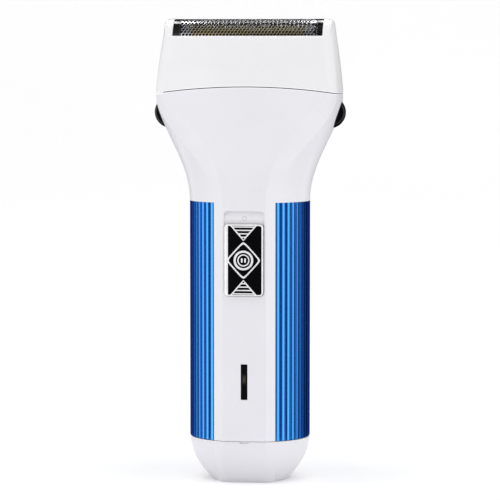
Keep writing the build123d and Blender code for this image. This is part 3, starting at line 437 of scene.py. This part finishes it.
class SHAVER_OT_grip_finish(bpy.types.Operator):
    """Blue anodised metal on the ribbed grips, with painted shade in the grooves and at the middle of each
    side
    """
    bl_idname = "shaver.grip_finish"
    bl_label = "Grip finish"

    def execute(self, context):
        """Colours the ribs by their distance from the axis of the handle's round side, with painted shade
        in the grooves.

        The side is an arc about x = 4.056 mm, so that distance tells groove from crest.
        """
        colours = context.scene.shaver_colours
        made = Finish(
            "blue anodised ribs", colours.grip, metallic=0.9, roughness=0.2,
            Specular_Tint=(0.1, 0.3, 1.0, 1.0), Coat_Weight=0.12, Coat_Roughness=0.05)
        side_centre, side_radius, rib_depth = 4.056 * MM, 16.69 * MM, 0.45 * MM
        flank_end, front_start = 4.0 * MM, 14.5 * MM
        along = (1.0, 1.0, 0.02)
        x, y, _ = made.axes()
        offset = made.math("SUBTRACT", made.math("ABSOLUTE", x), side_centre)
        crest = made.ramp(made.span(offset, y), side_radius - rib_depth, side_radius - 0.25 * rib_depth)
        brushed = made.ramp(made.noise(900.0, 4.0, (1.0, 1.0, 0.01)), 0.3, 0.7, 0.85, 1.0)
        # Painted shade: the blue deepens towards the middle of each side, where the ribs turn away from the
        # light.
        side = made.ramp(made.math("ABSOLUTE", y), flank_end, front_start)
        side_shaded_blue = made.mix(side, colours.painted_side_shade, colours.grip)
        # Painted shade: the grooves between the crests take the dark groove blue.
        made.put("Base Color", made.mix(made.math("MULTIPLY", crest, brushed), colours.groove, side_shaded_blue))
        made.polish(1800.0, 0.07, 0.13, along)
        made.grain(3500.0, 0.000006, along)
        dress(made.material, "right_grip", "left_grip")
        return {"FINISHED"}


class SHAVER_OT_dark_finish(bpy.types.Operator):
    """Black plastics: release buttons, cassette and the window over the charge light"""
    bl_idname = "shaver.dark_finish"
    bl_label = "Dark finishes"

    def execute(self, context):
        """Gives the black pieces their finishes."""
        cool_black, black = (0.003, 0.003, 0.004), (0.002, 0.002, 0.002)
        button = Finish("button black", cool_black, roughness=0.2, Specular_IOR_Level=0.08)
        button.mottle(300.0, 0.25)
        button.polish(700.0, 0.12, 0.24)
        button.grain(2500.0, 0.000006)
        dress(button.material, "right_release_button", "left_release_button")

        cassette = Finish("cassette black", black, roughness=0.1, Specular_IOR_Level=0.35)
        cassette.mottle(300.0, 0.2)
        cassette.polish(900.0, 0.07, 0.13)
        cassette.grain(5000.0, 0.00001)
        dress(cassette.material, "foil_cassette")

        dress(self.smoked(), "led_window")
        return {"FINISHED"}

    @staticmethod
    def smoked():
        """Smoked plastic with a soft paler spot of painted glow where the lamp stands behind it."""
        made = Finish("smoked window", (0.004, 0.004, 0.005), roughness=0.12, Specular_IOR_Level=0.1)
        dark, painted_glow = (0.003, 0.003, 0.003), (0.055, 0.05, 0.045)
        spot_z = 0.5 * float(WINDOW_LOW[2] + WINDOW_HIGH[2]) + 0.9 * MM
        x, _, z = made.axes()
        rise = made.math("ABSOLUTE", made.math("SUBTRACT", z, spot_z))
        tall = made.ramp(rise, 0.2 * MM, 2.2 * MM, 1.0, 0.0)
        wide = made.ramp(made.math("ABSOLUTE", x), 0.0, 1.0 * MM, 1.0, 0.0)
        # Painted light: a paler warm spot stands in for the lamp's glow through the window.
        made.put("Base Color", made.mix(made.math("MULTIPLY", tall, wide), dark, painted_glow))
        made.polish(500.0, 0.1, 0.18)
        return made.material


class SHAVER_OT_inner_finish(bpy.types.Operator):
    """Finishes of the drive, the motor, the cells and the charger inside"""
    bl_idname = "shaver.inner_finish"
    bl_label = "Inner finishes"

    def execute(self, context):
        """Gives every hidden node its own material."""
        for material, *nodes in (
            (moulded("frame grey", (0.42, 0.43, 0.45), 0.5),
             "chassis", "drive_frame", "slide_carrier", "switch_lever"),
            (moulded("deck grey", (0.66, 0.67, 0.69), 0.5), "top_deck"),
            (moulded("carrier black", (0.02, 0.02, 0.022), 0.45),
             "cutter_carrier", "motor_end_cap", "power_switch"),
            (moulded("bearing plastic", (0.78, 0.78, 0.75), 0.42), "crank", "oscillating_bridge"),
            (moulded("seal rubber", (0.035, 0.035, 0.04), 0.7, 0.3), "post_seal"),
            (moulded("amber lens", (0.72, 0.35, 0.07), 0.2), "charge_led"),
            (turned("bright steel", (0.56, 0.57, 0.59)),
             "motor_can", "motor_shaft", "guide_rods", "drive_post",
             "board_screws", "motor_screws", "body_screws"),
            (turned("blade steel", (0.06, 0.05, 0.03), 0.35, (0.1, 1.0, 1.0)), "cutter_blades"),
            (turned("nickel plate", (0.70, 0.68, 0.63), 0.22), "inlet_pins", "cell_tabs"),
            (turned("terminal brass", (0.78, 0.58, 0.24)), "motor_terminals"),
            (turned("bush bronze", (0.50, 0.34, 0.17), 0.42), "motor_bushes"),
            (turned("magnet grey", (0.09, 0.09, 0.10), 0.5), "motor_magnets"),
            (banded("rotor sheets", (0.20, 0.20, 0.21), (0.52, 0.50, 0.47), 0.7 * MM, 1.0, 0.35),
             "motor_rotor"),
            (banded("core sheets", (0.07, 0.06, 0.05), (0.34, 0.17, 0.06), 1.1 * MM, 0.3, 0.5),
             "charge_transformer"),
            (banded("sleeve print", (0.03, 0.04, 0.14), (0.05, 0.07, 0.20), 2.2 * MM, 0.0, 0.3),
             "smoothing_capacitors"),
            (self.board(), "circuit_board"),
            (self.cell(), "left_cell", "right_cell"),
        ):
            dress(material, *nodes)
        return {"FINISHED"}

    @staticmethod
    def board():
        """Green board with a net of paler tracks."""
        green = (0.02, 0.16, 0.07)
        made = Finish("board green", green, roughness=0.4)
        tracks = made.node("ShaderNodeTexBrick", {
            "Vector": made.place, "Color1": (*green, 1.0), "Color2": (0.03, 0.20, 0.09, 1.0),
            "Mortar": (0.06, 0.30, 0.13, 1.0), "Scale": 220.0, "Mortar Size": 0.03})
        made.put("Base Color", tracks.outputs["Color"])
        made.polish(800.0, 0.3, 0.5)
        return made.material

    @staticmethod
    def cell():
        """Green sleeve that leaves bare metal at both ends of a cell."""
        sleeve, bare = (0.05, 0.32, 0.16), (0.62, 0.61, 0.58)
        made = Finish("cell sleeve", sleeve, roughness=0.25)
        height = made.axes()[2]
        low, high = (corner[2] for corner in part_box("left_cell"))
        top = made.ramp(height, high - 3.0 * MM, high - 2.4 * MM)
        bottom = made.ramp(height, low + 1.4 * MM, low + 0.8 * MM)
        end = made.math("MAXIMUM", top, bottom)
        made.put("Base Color", made.mix(end, sleeve, bare))
        made.put("Metallic", made.ramp(end, 0.0, 1.0, 0.1, 1.0))
        made.polish(600.0, 0.2, 0.36)
        return made.material


class SHAVER_OT_pierced_foil(bpy.types.Operator):
    """The foil: a thin arched sheet pierced with rows of slanted holes"""
    bl_idname = "shaver.pierced_foil"
    bl_label = "Pierced foil"

    def execute(self, context):
        """Rolls a flat pierced sheet over the arch and gives it thickness.

        Flat coordinates are x along the foil and s along its profile. With arch radius R and centre z0
        the roll is y = -R cos(s/R), z = z0 + R sin(s/R), and past both ends of the arch the sheet hangs
        straight down.
        """
        foil = context.scene.shaver_foil
        arch = math.pi * foil.radius
        centre_z = FOIL_HIGH[2] - foil.radius
        flat, faces = self.sheet(foil, arch, centre_z - FOIL_LOW[2])
        x, s = flat[:, 0], flat[:, 1]
        angle = np.clip(s / foil.radius, 0.0, math.pi)
        drop = np.maximum(-s, 0.0) + np.maximum(s - arch, 0.0)
        points = np.stack(
            [x, -foil.radius * np.cos(angle), centre_z + foil.radius * np.sin(angle) - drop], axis=1)
        piece = mesh_piece(
            "pierced_foil", points, faces, self.metal(), "head", smooth=False)
        wall = piece.modifiers.new("sheet", "SOLIDIFY")
        wall.thickness = foil.thickness
        wall.offset = -1.0
        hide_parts("shaving_foil")
        return {"FINISHED"}

    @staticmethod
    def sheet(foil, arch, skirt):
        """Points (x, s) and faces of the flat sheet: a honeycomb of pierced cells with plain borders.

        Lines of points half a pitch apart zigzag between rows. Each cell has six of them, and six more
        round its hole, which is the cell shrunk about its middle and slanted. Plain strips close the ends,
        and the skirts close the long sides.
        """
        half_length = FOIL_HIGH[0]
        s_start = foil.start * foil.radius
        rows = 2 * round((arch - 2 * s_start) / foil.row / 2) + 1
        row = (arch - 2 * s_start) / rows
        pierced = 2 * (half_length - foil.margin)
        cells = round(pierced / foil.pitch)
        columns = 2 * cells + 1
        blocks, faces = [], []

        def add(x, s):
            """Keeps a block of points and returns their numbers."""
            start = sum(block.shape[0] for block in blocks)
            blocks.append(np.stack([x.ravel(), s.ravel()], axis=1))
            return start + np.arange(x.size).reshape(x.shape)

        line, place = np.meshgrid(np.arange(rows + 1), np.arange(columns), indexing="ij")
        zigzag = np.where((line + place) % 2 == 0, 1.0, -1.0) * row / 6
        lattice = add(place * pierced / cells / 2 - 0.5 * pierced, s_start + line * row + zigzag)
        net = blocks[0]

        cell_row, cell = np.meshgrid(np.arange(rows), np.arange(cells), indexing="ij")
        whole = (cell_row % 2 == 0) | (cell < cells - 1)
        cell_row, cell = cell_row[whole][:, None], cell[whole][:, None]
        across = 2 * cell + cell_row % 2 + [0, 1, 2, 2, 1, 0]
        rim = lattice[cell_row + [0, 0, 0, 1, 1, 1], across]
        middle = net[rim].mean(axis=1, keepdims=True)
        hole = (net[rim] - middle) * foil.web
        hole[:, :, 0] += hole[:, :, 1] * foil.slant / foil.web
        hole += middle
        ring = add(hole[:, :, 0], hole[:, :, 1])
        cell_sides = np.stack([rim, np.roll(rim, -1, 1), np.roll(ring, -1, 1), ring], axis=2)
        faces += cell_sides.reshape(-1, 4).tolist()

        odd = np.arange(1, rows, 2)
        for column in (0, columns - 2):
            lower, upper = lattice[odd, column:column + 2], lattice[odd + 1, column:column + 2]
            faces += np.concatenate([lower, upper[:, ::-1]], axis=1).tolist()

        ends = []
        for end_x, column, turn in ((-half_length, 0, 1), (half_length, -1, -1)):
            edge = lattice[:, column]
            ends.append(add(np.full(rows + 1, end_x), net[edge, 1]))
            strip = np.stack([ends[-1][:-1], edge[:-1], edge[1:], ends[-1][1:]], axis=1)
            faces += strip[:, ::turn].tolist()

        for level, turn_s, border, turn in ((0, 0.0, -skirt, 1), (rows, arch, arch + skirt, -1)):
            above = np.concatenate([[ends[0][level]], lattice[level], [ends[1][level]]])
            along = np.concatenate([[-half_length], net[lattice[level], 0], [half_length]])
            for s_line in (turn_s, 0.5 * (turn_s + border), border):
                below = add(along, np.full(along.size, s_line))
                strip = np.stack([below[:-1], below[1:], above[1:], above[:-1]], axis=1)
                faces += strip[:, ::turn].tolist()
                above = below
        return np.concatenate(blocks), faces

    @staticmethod
    def metal():
        """Bright metal, warm in the middle of the front and back, and darkened at its ends by painted
        shade.
        """
        colours = bpy.context.scene.shaver_colours
        made = Finish("foil metal", colours.silver, metallic=1.0, roughness=0.24)
        crown, edge = float(FOIL_HIGH[2]), float(FOIL_HIGH[0])
        # Painted shade: the foil's ends next to the cassette are darkened.
        seat = (0.06, 0.06, 0.065)
        x, _, z = made.axes()
        along = made.math("ABSOLUTE", x)
        central = made.ramp(along, 18.0 * MM, 21.0 * MM, 1.0, 0.0)
        low = made.ramp(z, crown - 4.0 * MM, crown - 1.2 * MM, 1.0, 0.0)
        cloud = made.ramp(made.noise(260.0), 0.3, 0.7, 0.7, 1.0)
        warm = made.math("MULTIPLY", made.math("MULTIPLY", central, low), cloud)
        painted_end_shade = made.ramp(along, edge - 1.1 * MM, edge - 0.6 * MM)
        made.put("Base Color", made.mix(painted_end_shade, made.mix(warm, colours.silver, colours.gold), seat))
        made.polish(1200.0, 0.12, 0.22)
        return made.material


class SHAVER_OT_slide_face(bpy.types.Operator):
    """The power slide: a dark face with raised bright lines"""
    bl_idname = "shaver.slide_face"
    bl_label = "Slide face"

    def execute(self, context):
        """Builds the slide as a height field over a rounded rectangle, closed behind, with its stem.

        u runs across and v up from the middle. Each row is as wide as the rounded outline there. The
        front is y = front + relief (1 - raise) + edge rounding, where raise is 1 on a rim, a diamond, two
        rings, two short strokes and two barred triangles, and 0 on the field and round the sides.
        """
        slide = context.scene.shaver_slide
        half_width = SLIDE_HIGH[0]
        half_height = 0.5 * (SLIDE_HIGH[2] - SLIDE_LOW[2])
        middle_z = 0.5 * (SLIDE_HIGH[2] + SLIDE_LOW[2])
        front = SLIDE_LOW[1]
        back = front + SLIDE_THICKNESS
        across = 2 * round(half_width / slide.step) + 1
        up = 2 * round(half_height / slide.step) + 1
        a, v = np.meshgrid(np.linspace(-1.0, 1.0, across), np.linspace(-half_height, half_height, up))
        beyond = np.maximum(np.abs(v) - (half_height - slide.corner), 0.0)
        cut = slide.corner - np.sqrt(np.maximum(slide.corner ** 2 - beyond ** 2, 0.0))
        u = a * (half_width - cut)
        inset = self.inset(u, v, half_width, half_height, slide.corner)
        raised = self.ornament(u, v, inset)
        rolled = np.clip(slide.edge - inset, 0.0, slide.edge)
        roll = slide.edge - np.sqrt(slide.edge ** 2 - rolled ** 2)
        y = front + slide.relief * (1.0 - raised) + roll
        face = np.stack([u, y, v + middle_z], axis=2).reshape(-1, 3)
        faces = grid_faces(up, across)

        index = np.arange(up * across).reshape(up, across)
        outline = np.concatenate([index[0, :-1], index[:-1, -1], index[-1, :0:-1], index[:0:-1, 0]])
        behind = face.shape[0] + np.arange(outline.size)
        rear = face[outline].copy()
        rear[:, 1] = back
        walls = np.stack([outline, behind, np.roll(behind, -1), np.roll(outline, -1)], axis=1)
        faces += walls.tolist() + [behind[::-1].tolist()]

        stem_half, stem_tall = 2.0 * MM, 2.8 * MM
        corner = np.array([[-1, -1], [1, -1], [1, 1], [-1, 1]]) * [stem_half, stem_tall]
        stem = np.concatenate([
            np.stack([corner[:, 0], np.full(4, depth), corner[:, 1] + middle_z], axis=1)
            for depth in (back, SLIDE_HIGH[1])])
        stem_faces = np.array([
            [0, 1, 2, 3], [4, 7, 6, 5], [0, 4, 5, 1], [1, 5, 6, 2], [2, 6, 7, 3], [3, 7, 4, 0]])
        faces += (face.shape[0] + outline.size + stem_faces).tolist()

        points = np.concatenate([face, rear, stem])
        piece = mesh_piece("slide_face", points, faces, self.plating(), "slide")
        bright = np.concatenate([raised.ravel(), np.zeros(outline.size), np.ones(stem.shape[0])])
        layer = piece.data.attributes.new("raise", "FLOAT", "POINT")
        layer.data.foreach_set("value", bright.astype(np.float32))
        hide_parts("power_slide")
        return {"FINISHED"}

    @staticmethod
    def inset(u, v, half_width, half_height, corner):
        """Distance inwards from the rounded outline."""
        du = np.abs(u) - (half_width - corner)
        dv = np.abs(v) - (half_height - corner)
        outside = np.hypot(np.maximum(du, 0.0), np.maximum(dv, 0.0))
        return corner - outside - np.minimum(np.maximum(du, dv), 0.0)

    @staticmethod
    def ornament(u, v, inset):
        """Raise from 0 to 1: the largest of soft-edged lines, each a distance to a simple figure.

        The two triangles stand on the ends of the slide and point to its middle, each with a dark dot at
        its tip.
        """
        slide = bpy.context.scene.shaver_slide
        soft = 0.14 * MM
        field_left, field_right, end_rim = -5.28 * MM, 6.15 * MM, 0.45 * MM
        wide, tall, rounding = 5.2 * MM, 5.72 * MM, 0.55 * MM
        ring_line, small_ring_line = 0.74 * MM, 0.42 * MM
        stroke_u, stroke_line, stroke_tall = 0.56 * MM, 0.56 * MM, 1.45 * MM
        tip_v, base_v, slope = 6.55 * MM, 11.75 * MM, 0.87
        groove_v, bar_pitch, bar_height, bar_bias, bar_swing = 10.76 * MM, 1.155 * MM, 0.9, -0.2, 1.6
        dot_v, dot_size = 7.4 * MM, 0.56 * MM

        def above(distance):
            """1 where a distance is positive, with a soft edge."""
            return np.clip(distance / soft + 0.5, 0.0, 1.0)

        def line(distance, width):
            """1 within half a width of a figure."""
            return above(0.5 * width - np.abs(distance))

        rim = np.maximum.reduce([above(field_left - u), above(u - field_right), above(end_rim - inset)])
        across = np.hypot(u, rounding) - 0.6 * rounding
        along = np.hypot(v, rounding) - 0.6 * rounding
        diamond = line((across / wide + along / tall - 1.0) / math.hypot(1 / wide, 1 / tall), slide.line)
        radius = np.hypot(u, v)
        ring = line(radius - slide.ring, ring_line)
        small_ring = line(radius - slide.small_ring, small_ring_line)
        strokes = line(np.abs(u) - stroke_u, stroke_line) * line(v, stroke_tall)

        height = np.abs(v)
        within = (height > tip_v) * (height < base_v)
        side = (np.abs(u) - (height - tip_v) * slope) / math.hypot(1.0, slope)
        sides = line(side + 0.5 * slide.side_line, slide.side_line) * within
        wave = bar_bias - bar_swing * np.cos(2 * math.pi * (height - groove_v) / bar_pitch)
        bars = np.clip(wave, 0.0, bar_height) * (side < -slide.side_line) * within
        dots = line(np.hypot(u, height - dot_v), dot_size)
        figures = np.maximum.reduce([rim, diamond, ring, small_ring, strokes, sides, bars])
        return figures * (1.0 - dots)

    @staticmethod
    def plating():
        """Near-white plate on the raised lines, its brightness partly painted reflection of chrome, and a
        dark glossy field, told apart by the raise attribute.
        """
        colours = bpy.context.scene.shaver_colours
        made = Finish("slide plating", colours.chrome_and_painted_shine, roughness=0.16, Specular_IOR_Level=0.07)
        raised = made.node("ShaderNodeAttribute", attribute_name="raise").outputs["Fac"]
        bright = made.ramp(raised, 0.3, 0.75)
        smear = made.ramp(made.noise(350.0), 0.3, 0.7, 0.9, 1.0)
        painted_shine_mask = made.math("MULTIPLY", bright, smear)
        # Painted reflection: the raised lines are near-white paint with little metal, standing in for
        # chrome mirroring a bright room.
        made.put("Base Color", made.mix(painted_shine_mask, colours.field, colours.chrome_and_painted_shine))
        made.put("Metallic", made.math("MULTIPLY", bright, 0.2))
        made.put("Roughness", made.ramp(made.noise(900.0), 0.25, 0.75, 0.12, 0.22))
        return made.material


class SHAVER_OT_pocket_mark(bpy.types.Operator):
    """A tiny moulded ring on the floor of the slide's pocket"""
    bl_idname = "shaver.pocket_mark"
    bl_label = "Pocket mark"

    def execute(self, context):
        """A low bead carried round a circle in front of the pocket's floor.

        With turn t and angle s over the bead, the radius is R + b cos s, and the height over the floor is
        h sin s less a little sunk.
        """
        centre_z = SLIDE_HIGH[2] + 1.9 * MM
        ring, bead, tall, sunk = 0.7 * MM, 0.16 * MM, 0.06 * MM, 0.01 * MM
        steps, over = 48, 7
        turn, across = np.meshgrid(
            np.linspace(0.0, 2 * math.pi, steps, endpoint=False), np.linspace(math.pi, 0.0, over),
            indexing="ij")
        radius = ring + bead * np.cos(across)
        points = np.stack([
            radius * np.cos(turn), POCKET_FLOOR_Y + sunk - tall * np.sin(across),
            centre_z + radius * np.sin(turn)], axis=2).reshape(-1, 3)
        index = np.arange(steps * over).reshape(steps, over)
        after = np.roll(index, -1, 0)
        quads = np.stack([index, np.roll(index, -1, 1), np.roll(after, -1, 1), after], axis=2)
        white = [0.94 * c for c in context.scene.shaver_colours.shell]
        material = moulded("pocket mark white", white, 0.4)
        faces = quads.reshape(-1, 4).tolist()
        mesh_piece("pocket_mark", points, faces, material, "body")
        return {"FINISHED"}


class SHAVER_OT_springs(bpy.types.Operator):
    """Coil springs under the cutter and behind the release buttons"""
    bl_idname = "shaver.springs"
    bl_label = "Coil springs"

    def execute(self, context):
        """Winds a coil for each node that the frame lets shorten, and attaches it to the body the joint
        hangs from.
        """
        steel = turned("spring steel", (0.60, 0.61, 0.63), 0.26)
        for joint in frame["joints"]:
            for sleeve in joint.get("deforming_nodes", ()):
                letter = sleeve["mode"][-1]
                anchor = sleeve[f"fixed_end_{letter}_m"]
                travel = max(abs(limit) for limit in joint["range_m"])
                self.coil(sleeve["node"], "xyz".index(letter), anchor, joint, travel, steel)
        return {"FINISHED"}

    @staticmethod
    def coil(node, axis, anchor, joint, travel, steel):
        """A round wire on a helix in the room of the plain sleeve.

        With turn t and angle s round the wire, the distance from the axis is R + w cos s, and the height
        is an even rise along t plus w sin s. The wire's ends are closed by flat discs.
        """
        spring = bpy.context.scene.shaver_springs
        low, high = (np.array(corner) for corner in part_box(node))
        centre = 0.5 * (low + high)
        first, second = (axis + 1) % 3, (axis + 2) % 3
        wire = 0.5 * spring.wire
        radius = 0.5 * (high - low)[first] - wire - spring.inset
        rise = (high - low)[axis] - 2 * (wire + spring.seat)
        turns = int(rise / (spring.spread * spring.wire))
        steps_in_turn, around = 36, 12
        along = steps_in_turn * turns
        turn, side = np.meshgrid(
            np.linspace(0.0, 1.0, along), np.linspace(0.0, 2 * math.pi, around, endpoint=False),
            indexing="ij")
        reach = radius + wire * np.cos(side)
        points = np.empty((along, around, 3))
        points[:, :, first] = centre[first] + reach * np.cos(2 * math.pi * turns * turn)
        points[:, :, second] = centre[second] + reach * np.sin(2 * math.pi * turns * turn)
        points[:, :, axis] = low[axis] + wire + spring.seat + rise * turn + wire * np.sin(side)
        index = np.arange(along * around).reshape(along, around)
        after = np.roll(index, -1, 1)
        quads = np.stack([index[:-1], index[1:], after[1:], after[:-1]], axis=2).reshape(-1, 4).tolist()
        faces = quads + [index[0].tolist(), index[-1, ::-1].tolist()]
        name = node.replace("spring", "coil")
        piece = mesh_piece(name, points.reshape(-1, 3), faces, steel, joint["parent"])
        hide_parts(node)
        held = centre.copy()
        held[axis] = anchor
        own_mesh(piece)


class SHAVER_OT_stage(bpy.types.Operator):
    """Pale floor that curves up behind, soft lights and the camera"""
    bl_idname = "shaver.stage"
    bl_label = "Stage"

    def execute(self, context):
        """Sets up the paper, the lights, the gloss screen and the camera."""
        stage = context.scene.shaver_stage
        self.paper(stage.floor)
        for softbox in SOFTBOXES:
            self.light(*softbox)
        self.reflector()
        self.ambient(stage.ambient)
        self.camera(stage)
        context.scene.view_settings.view_transform = "Standard"
        return {"FINISHED"}

    @staticmethod
    def paper(colour):
        """A sweep of paper: a profile of floor, quarter circle and wall, drawn straight across."""
        front, back, bend, top, half_width = -4.0, 1.2, 1.2, 3.5, 4.0
        turn = np.linspace(0.0, 0.5 * math.pi, 25)
        floor = np.concatenate([[front], np.linspace(-1.0, 1.0, 9)])
        depth = np.concatenate([floor, back + bend * np.sin(turn), [back + bend]])
        height = np.concatenate([np.zeros(floor.size), bend - bend * np.cos(turn), [top]])
        across = np.linspace(-half_width, half_width, 9)
        points = np.stack(np.broadcast_arrays(across[None, :], depth[:, None], height[:, None]), axis=2)
        made = Finish("pale paper", colour, roughness=0.9, Specular_IOR_Level=0.1,
                      Emission_Color=(1.0, 1.0, 1.0, 1.0), Emission_Strength=0.06)
        made.mottle(3.0, 0.006)
        faces = grid_faces(depth.size, across.size)
        mesh_piece("paper_sweep", points.reshape(-1, 3), faces, made.material, None)

    @staticmethod
    def light(name, place, size, power):
        """A rectangular softbox that faces the middle of the shaver."""
        lamp = bpy.data.lights.new(name, "AREA")
        lamp.shape = "RECTANGLE"
        lamp.size, lamp.size_y = size
        lamp.energy = power
        box = bpy.data.objects.new(name, lamp)
        box.location = place
        middle = Vector((0.0, 0.0, 0.09))
        box.rotation_euler = (middle - Vector(place)).to_track_quat("-Z", "Y").to_euler()
        bpy.context.collection.objects.link(box)

    @staticmethod
    def ambient(strength):
        """Even white light from all round."""
        world = bpy.data.worlds.new("studio")
        bpy.context.scene.world = world
        world.use_nodes = True
        background = world.node_tree.nodes["Background"]
        background.inputs["Color"].default_value = (1.0, 1.0, 1.0, 1.0)
        background.inputs["Strength"].default_value = strength

    @staticmethod
    def reflector():
        """A domed screen that only shows in gloss: bright towards the sides, dark above and behind.

        It is a cylinder under half a ball: the radius r is R up the wall and R cos e over it, the height is
        h up the wall and H + R sin e over it, and x = r sin t, y = -r cos t. The glow of the walls follows
        the angle t from the front. High up behind runs a strip of light, bright at both ends and faint in
        the middle.
        """
        radius, foot, wall = 0.1, 0.001, 0.26
        fade_low, fade_high = 0.2, 0.25
        front_glow, back_glow, turn_over = 0.5, 0.06, 0.02
        strip_low, strip_high, strip_front, soft = 0.262, 0.328, 0.03, 0.01
        left_end, right_end, end_soft = -0.0475, 0.0075, 0.003
        middle_glow, end_glow, end_shade = 0.85, 17.0, 0.4

        levels, turns = 5, 97
        rise = np.linspace(0.0, 0.5 * math.pi, 13)[1:]
        reach = np.concatenate([np.full(levels, radius), radius * np.cos(rise)])[:, None]
        height = np.concatenate([np.linspace(foot, wall, levels), wall + radius * np.sin(rise)])[:, None]
        turn = np.linspace(-math.pi, math.pi, turns)
        points = np.stack(
            np.broadcast_arrays(reach * np.sin(turn), -reach * np.cos(turn), height), axis=2).reshape(-1, 3)

        made = Finish("screen glow", (0.0, 0.0, 0.0), roughness=1.0, Specular_IOR_Level=0.0,
                      Emission_Color=(1.0, 1.0, 1.0, 1.0))
        x, y, z = made.axes()
        aside = made.math("ARCTAN2", made.math("ABSOLUTE", x), made.math("MULTIPLY", y, -1.0))
        tones = made.tones(made.math("DIVIDE", aside, math.pi), SCREEN_TONES)
        walls = made.math("MULTIPLY", tones, made.ramp(z, fade_low, fade_high, 1.0, 0.0))
        right = made.ramp(x, right_end, right_end + end_soft)
        left = made.ramp(x, left_end - end_soft, left_end, 1.0, 0.0)
        end = made.math("MAXIMUM", right, left)
        ceiling = made.math(
            "MULTIPLY", made.ramp(z, fade_low, fade_high),
            made.ramp(y, -turn_over, turn_over, front_glow, back_glow))
        above = made.math("MULTIPLY", ceiling, made.ramp(end, 0.0, 1.0, 1.0, end_shade))
        strip = made.math(
            "MULTIPLY", made.ramp(z, strip_low, strip_low + soft),
            made.ramp(z, strip_high, strip_high + soft, 1.0, 0.0))
        behind = made.math("MULTIPLY", strip, made.ramp(y, strip_front, strip_front + soft))
        glow = made.math("MULTIPLY", behind, made.ramp(end, 0.0, 1.0, middle_glow, end_glow))
        made.put("Emission Strength", made.math("ADD", made.math("ADD", walls, above), glow))
        screen = mesh_piece(
            "gloss_screen", points, grid_faces(reach.size, turns), made.material, None)
        screen.visible_camera = False
        screen.visible_diffuse = False
        screen.visible_shadow = False
        screen.visible_transmission = False

    @staticmethod
    def camera(stage):
        """A long lens, turned to the viewer's right of the front and looking slightly down."""
        lens = bpy.data.cameras.new("photo_camera")
        lens.sensor_fit = "HORIZONTAL"
        lens.sensor_width = 36.0
        lens.lens = stage.lens
        lens.clip_start = 0.05
        lens.clip_end = 20.0
        camera = bpy.data.objects.new("photo_camera", lens)
        turn = stage.azimuth
        camera.location = (stage.distance * math.sin(turn), -stage.distance * math.cos(turn), stage.height)
        camera.rotation_euler = (0.5 * math.pi - stage.pitch, 0.0, turn)
        bpy.context.collection.objects.link(camera)
        bpy.context.scene.camera = camera


class SHAVER_PT_looks(bpy.types.Panel):
    """Lists the settings, the pieces, the finishes and the stage."""
    bl_idname = "SHAVER_PT_looks"
    bl_label = "Shaver"
    bl_space_type = "VIEW_3D"
    bl_region_type = "UI"
    bl_category = "Shaver"

    def draw(self, context):
        """The settings, group by group, and one button for each operator."""
        for name, group in GROUPS:
            box = self.layout.box()
            box.label(text=group.__doc__)
            for setting in group.__annotations__:
                box.prop(getattr(context.scene, name), setting)
        for operator in OPERATORS:
            self.layout.operator(operator.bl_idname)


GROUPS = (
    ("shaver_foil", ShaverFoilSettings),
    ("shaver_slide", ShaverSlideSettings),
    ("shaver_colours", ShaverColourSettings),
    ("shaver_stage", ShaverStageSettings),
    ("shaver_springs", ShaverSpringSettings),
)
OPERATORS = (
    SHAVER_OT_shell_finish, SHAVER_OT_grip_finish, SHAVER_OT_dark_finish, SHAVER_OT_inner_finish,
    SHAVER_OT_pierced_foil, SHAVER_OT_slide_face, SHAVER_OT_pocket_mark,
    SHAVER_OT_springs, SHAVER_OT_stage,
)


def register():
    """Registers the settings, the operators and the panel."""
    for name, group in GROUPS:
        bpy.utils.register_class(group)
        setattr(bpy.types.Scene, name, bpy.props.PointerProperty(type=group))
    for operator in OPERATORS:
        bpy.utils.register_class(operator)
    bpy.utils.register_class(SHAVER_PT_looks)


def unregister():
    """Takes everything off again."""
    bpy.utils.unregister_class(SHAVER_PT_looks)
    for operator in reversed(OPERATORS):
        bpy.utils.unregister_class(operator)
    for name, group in reversed(GROUPS):
        delattr(bpy.types.Scene, name)
        bpy.utils.unregister_class(group)


def main():
    """Dresses the shaver and sets the stage."""
    register()
    bpy.ops.shaver.shell_finish()
    bpy.ops.shaver.grip_finish()
    bpy.ops.shaver.dark_finish()
    bpy.ops.shaver.inner_finish()
    bpy.ops.shaver.pierced_foil()
    bpy.ops.shaver.slide_face()
    bpy.ops.shaver.pocket_mark()
    bpy.ops.shaver.springs()
    bpy.ops.shaver.stage()


if __name__ == "__main__":
    main()
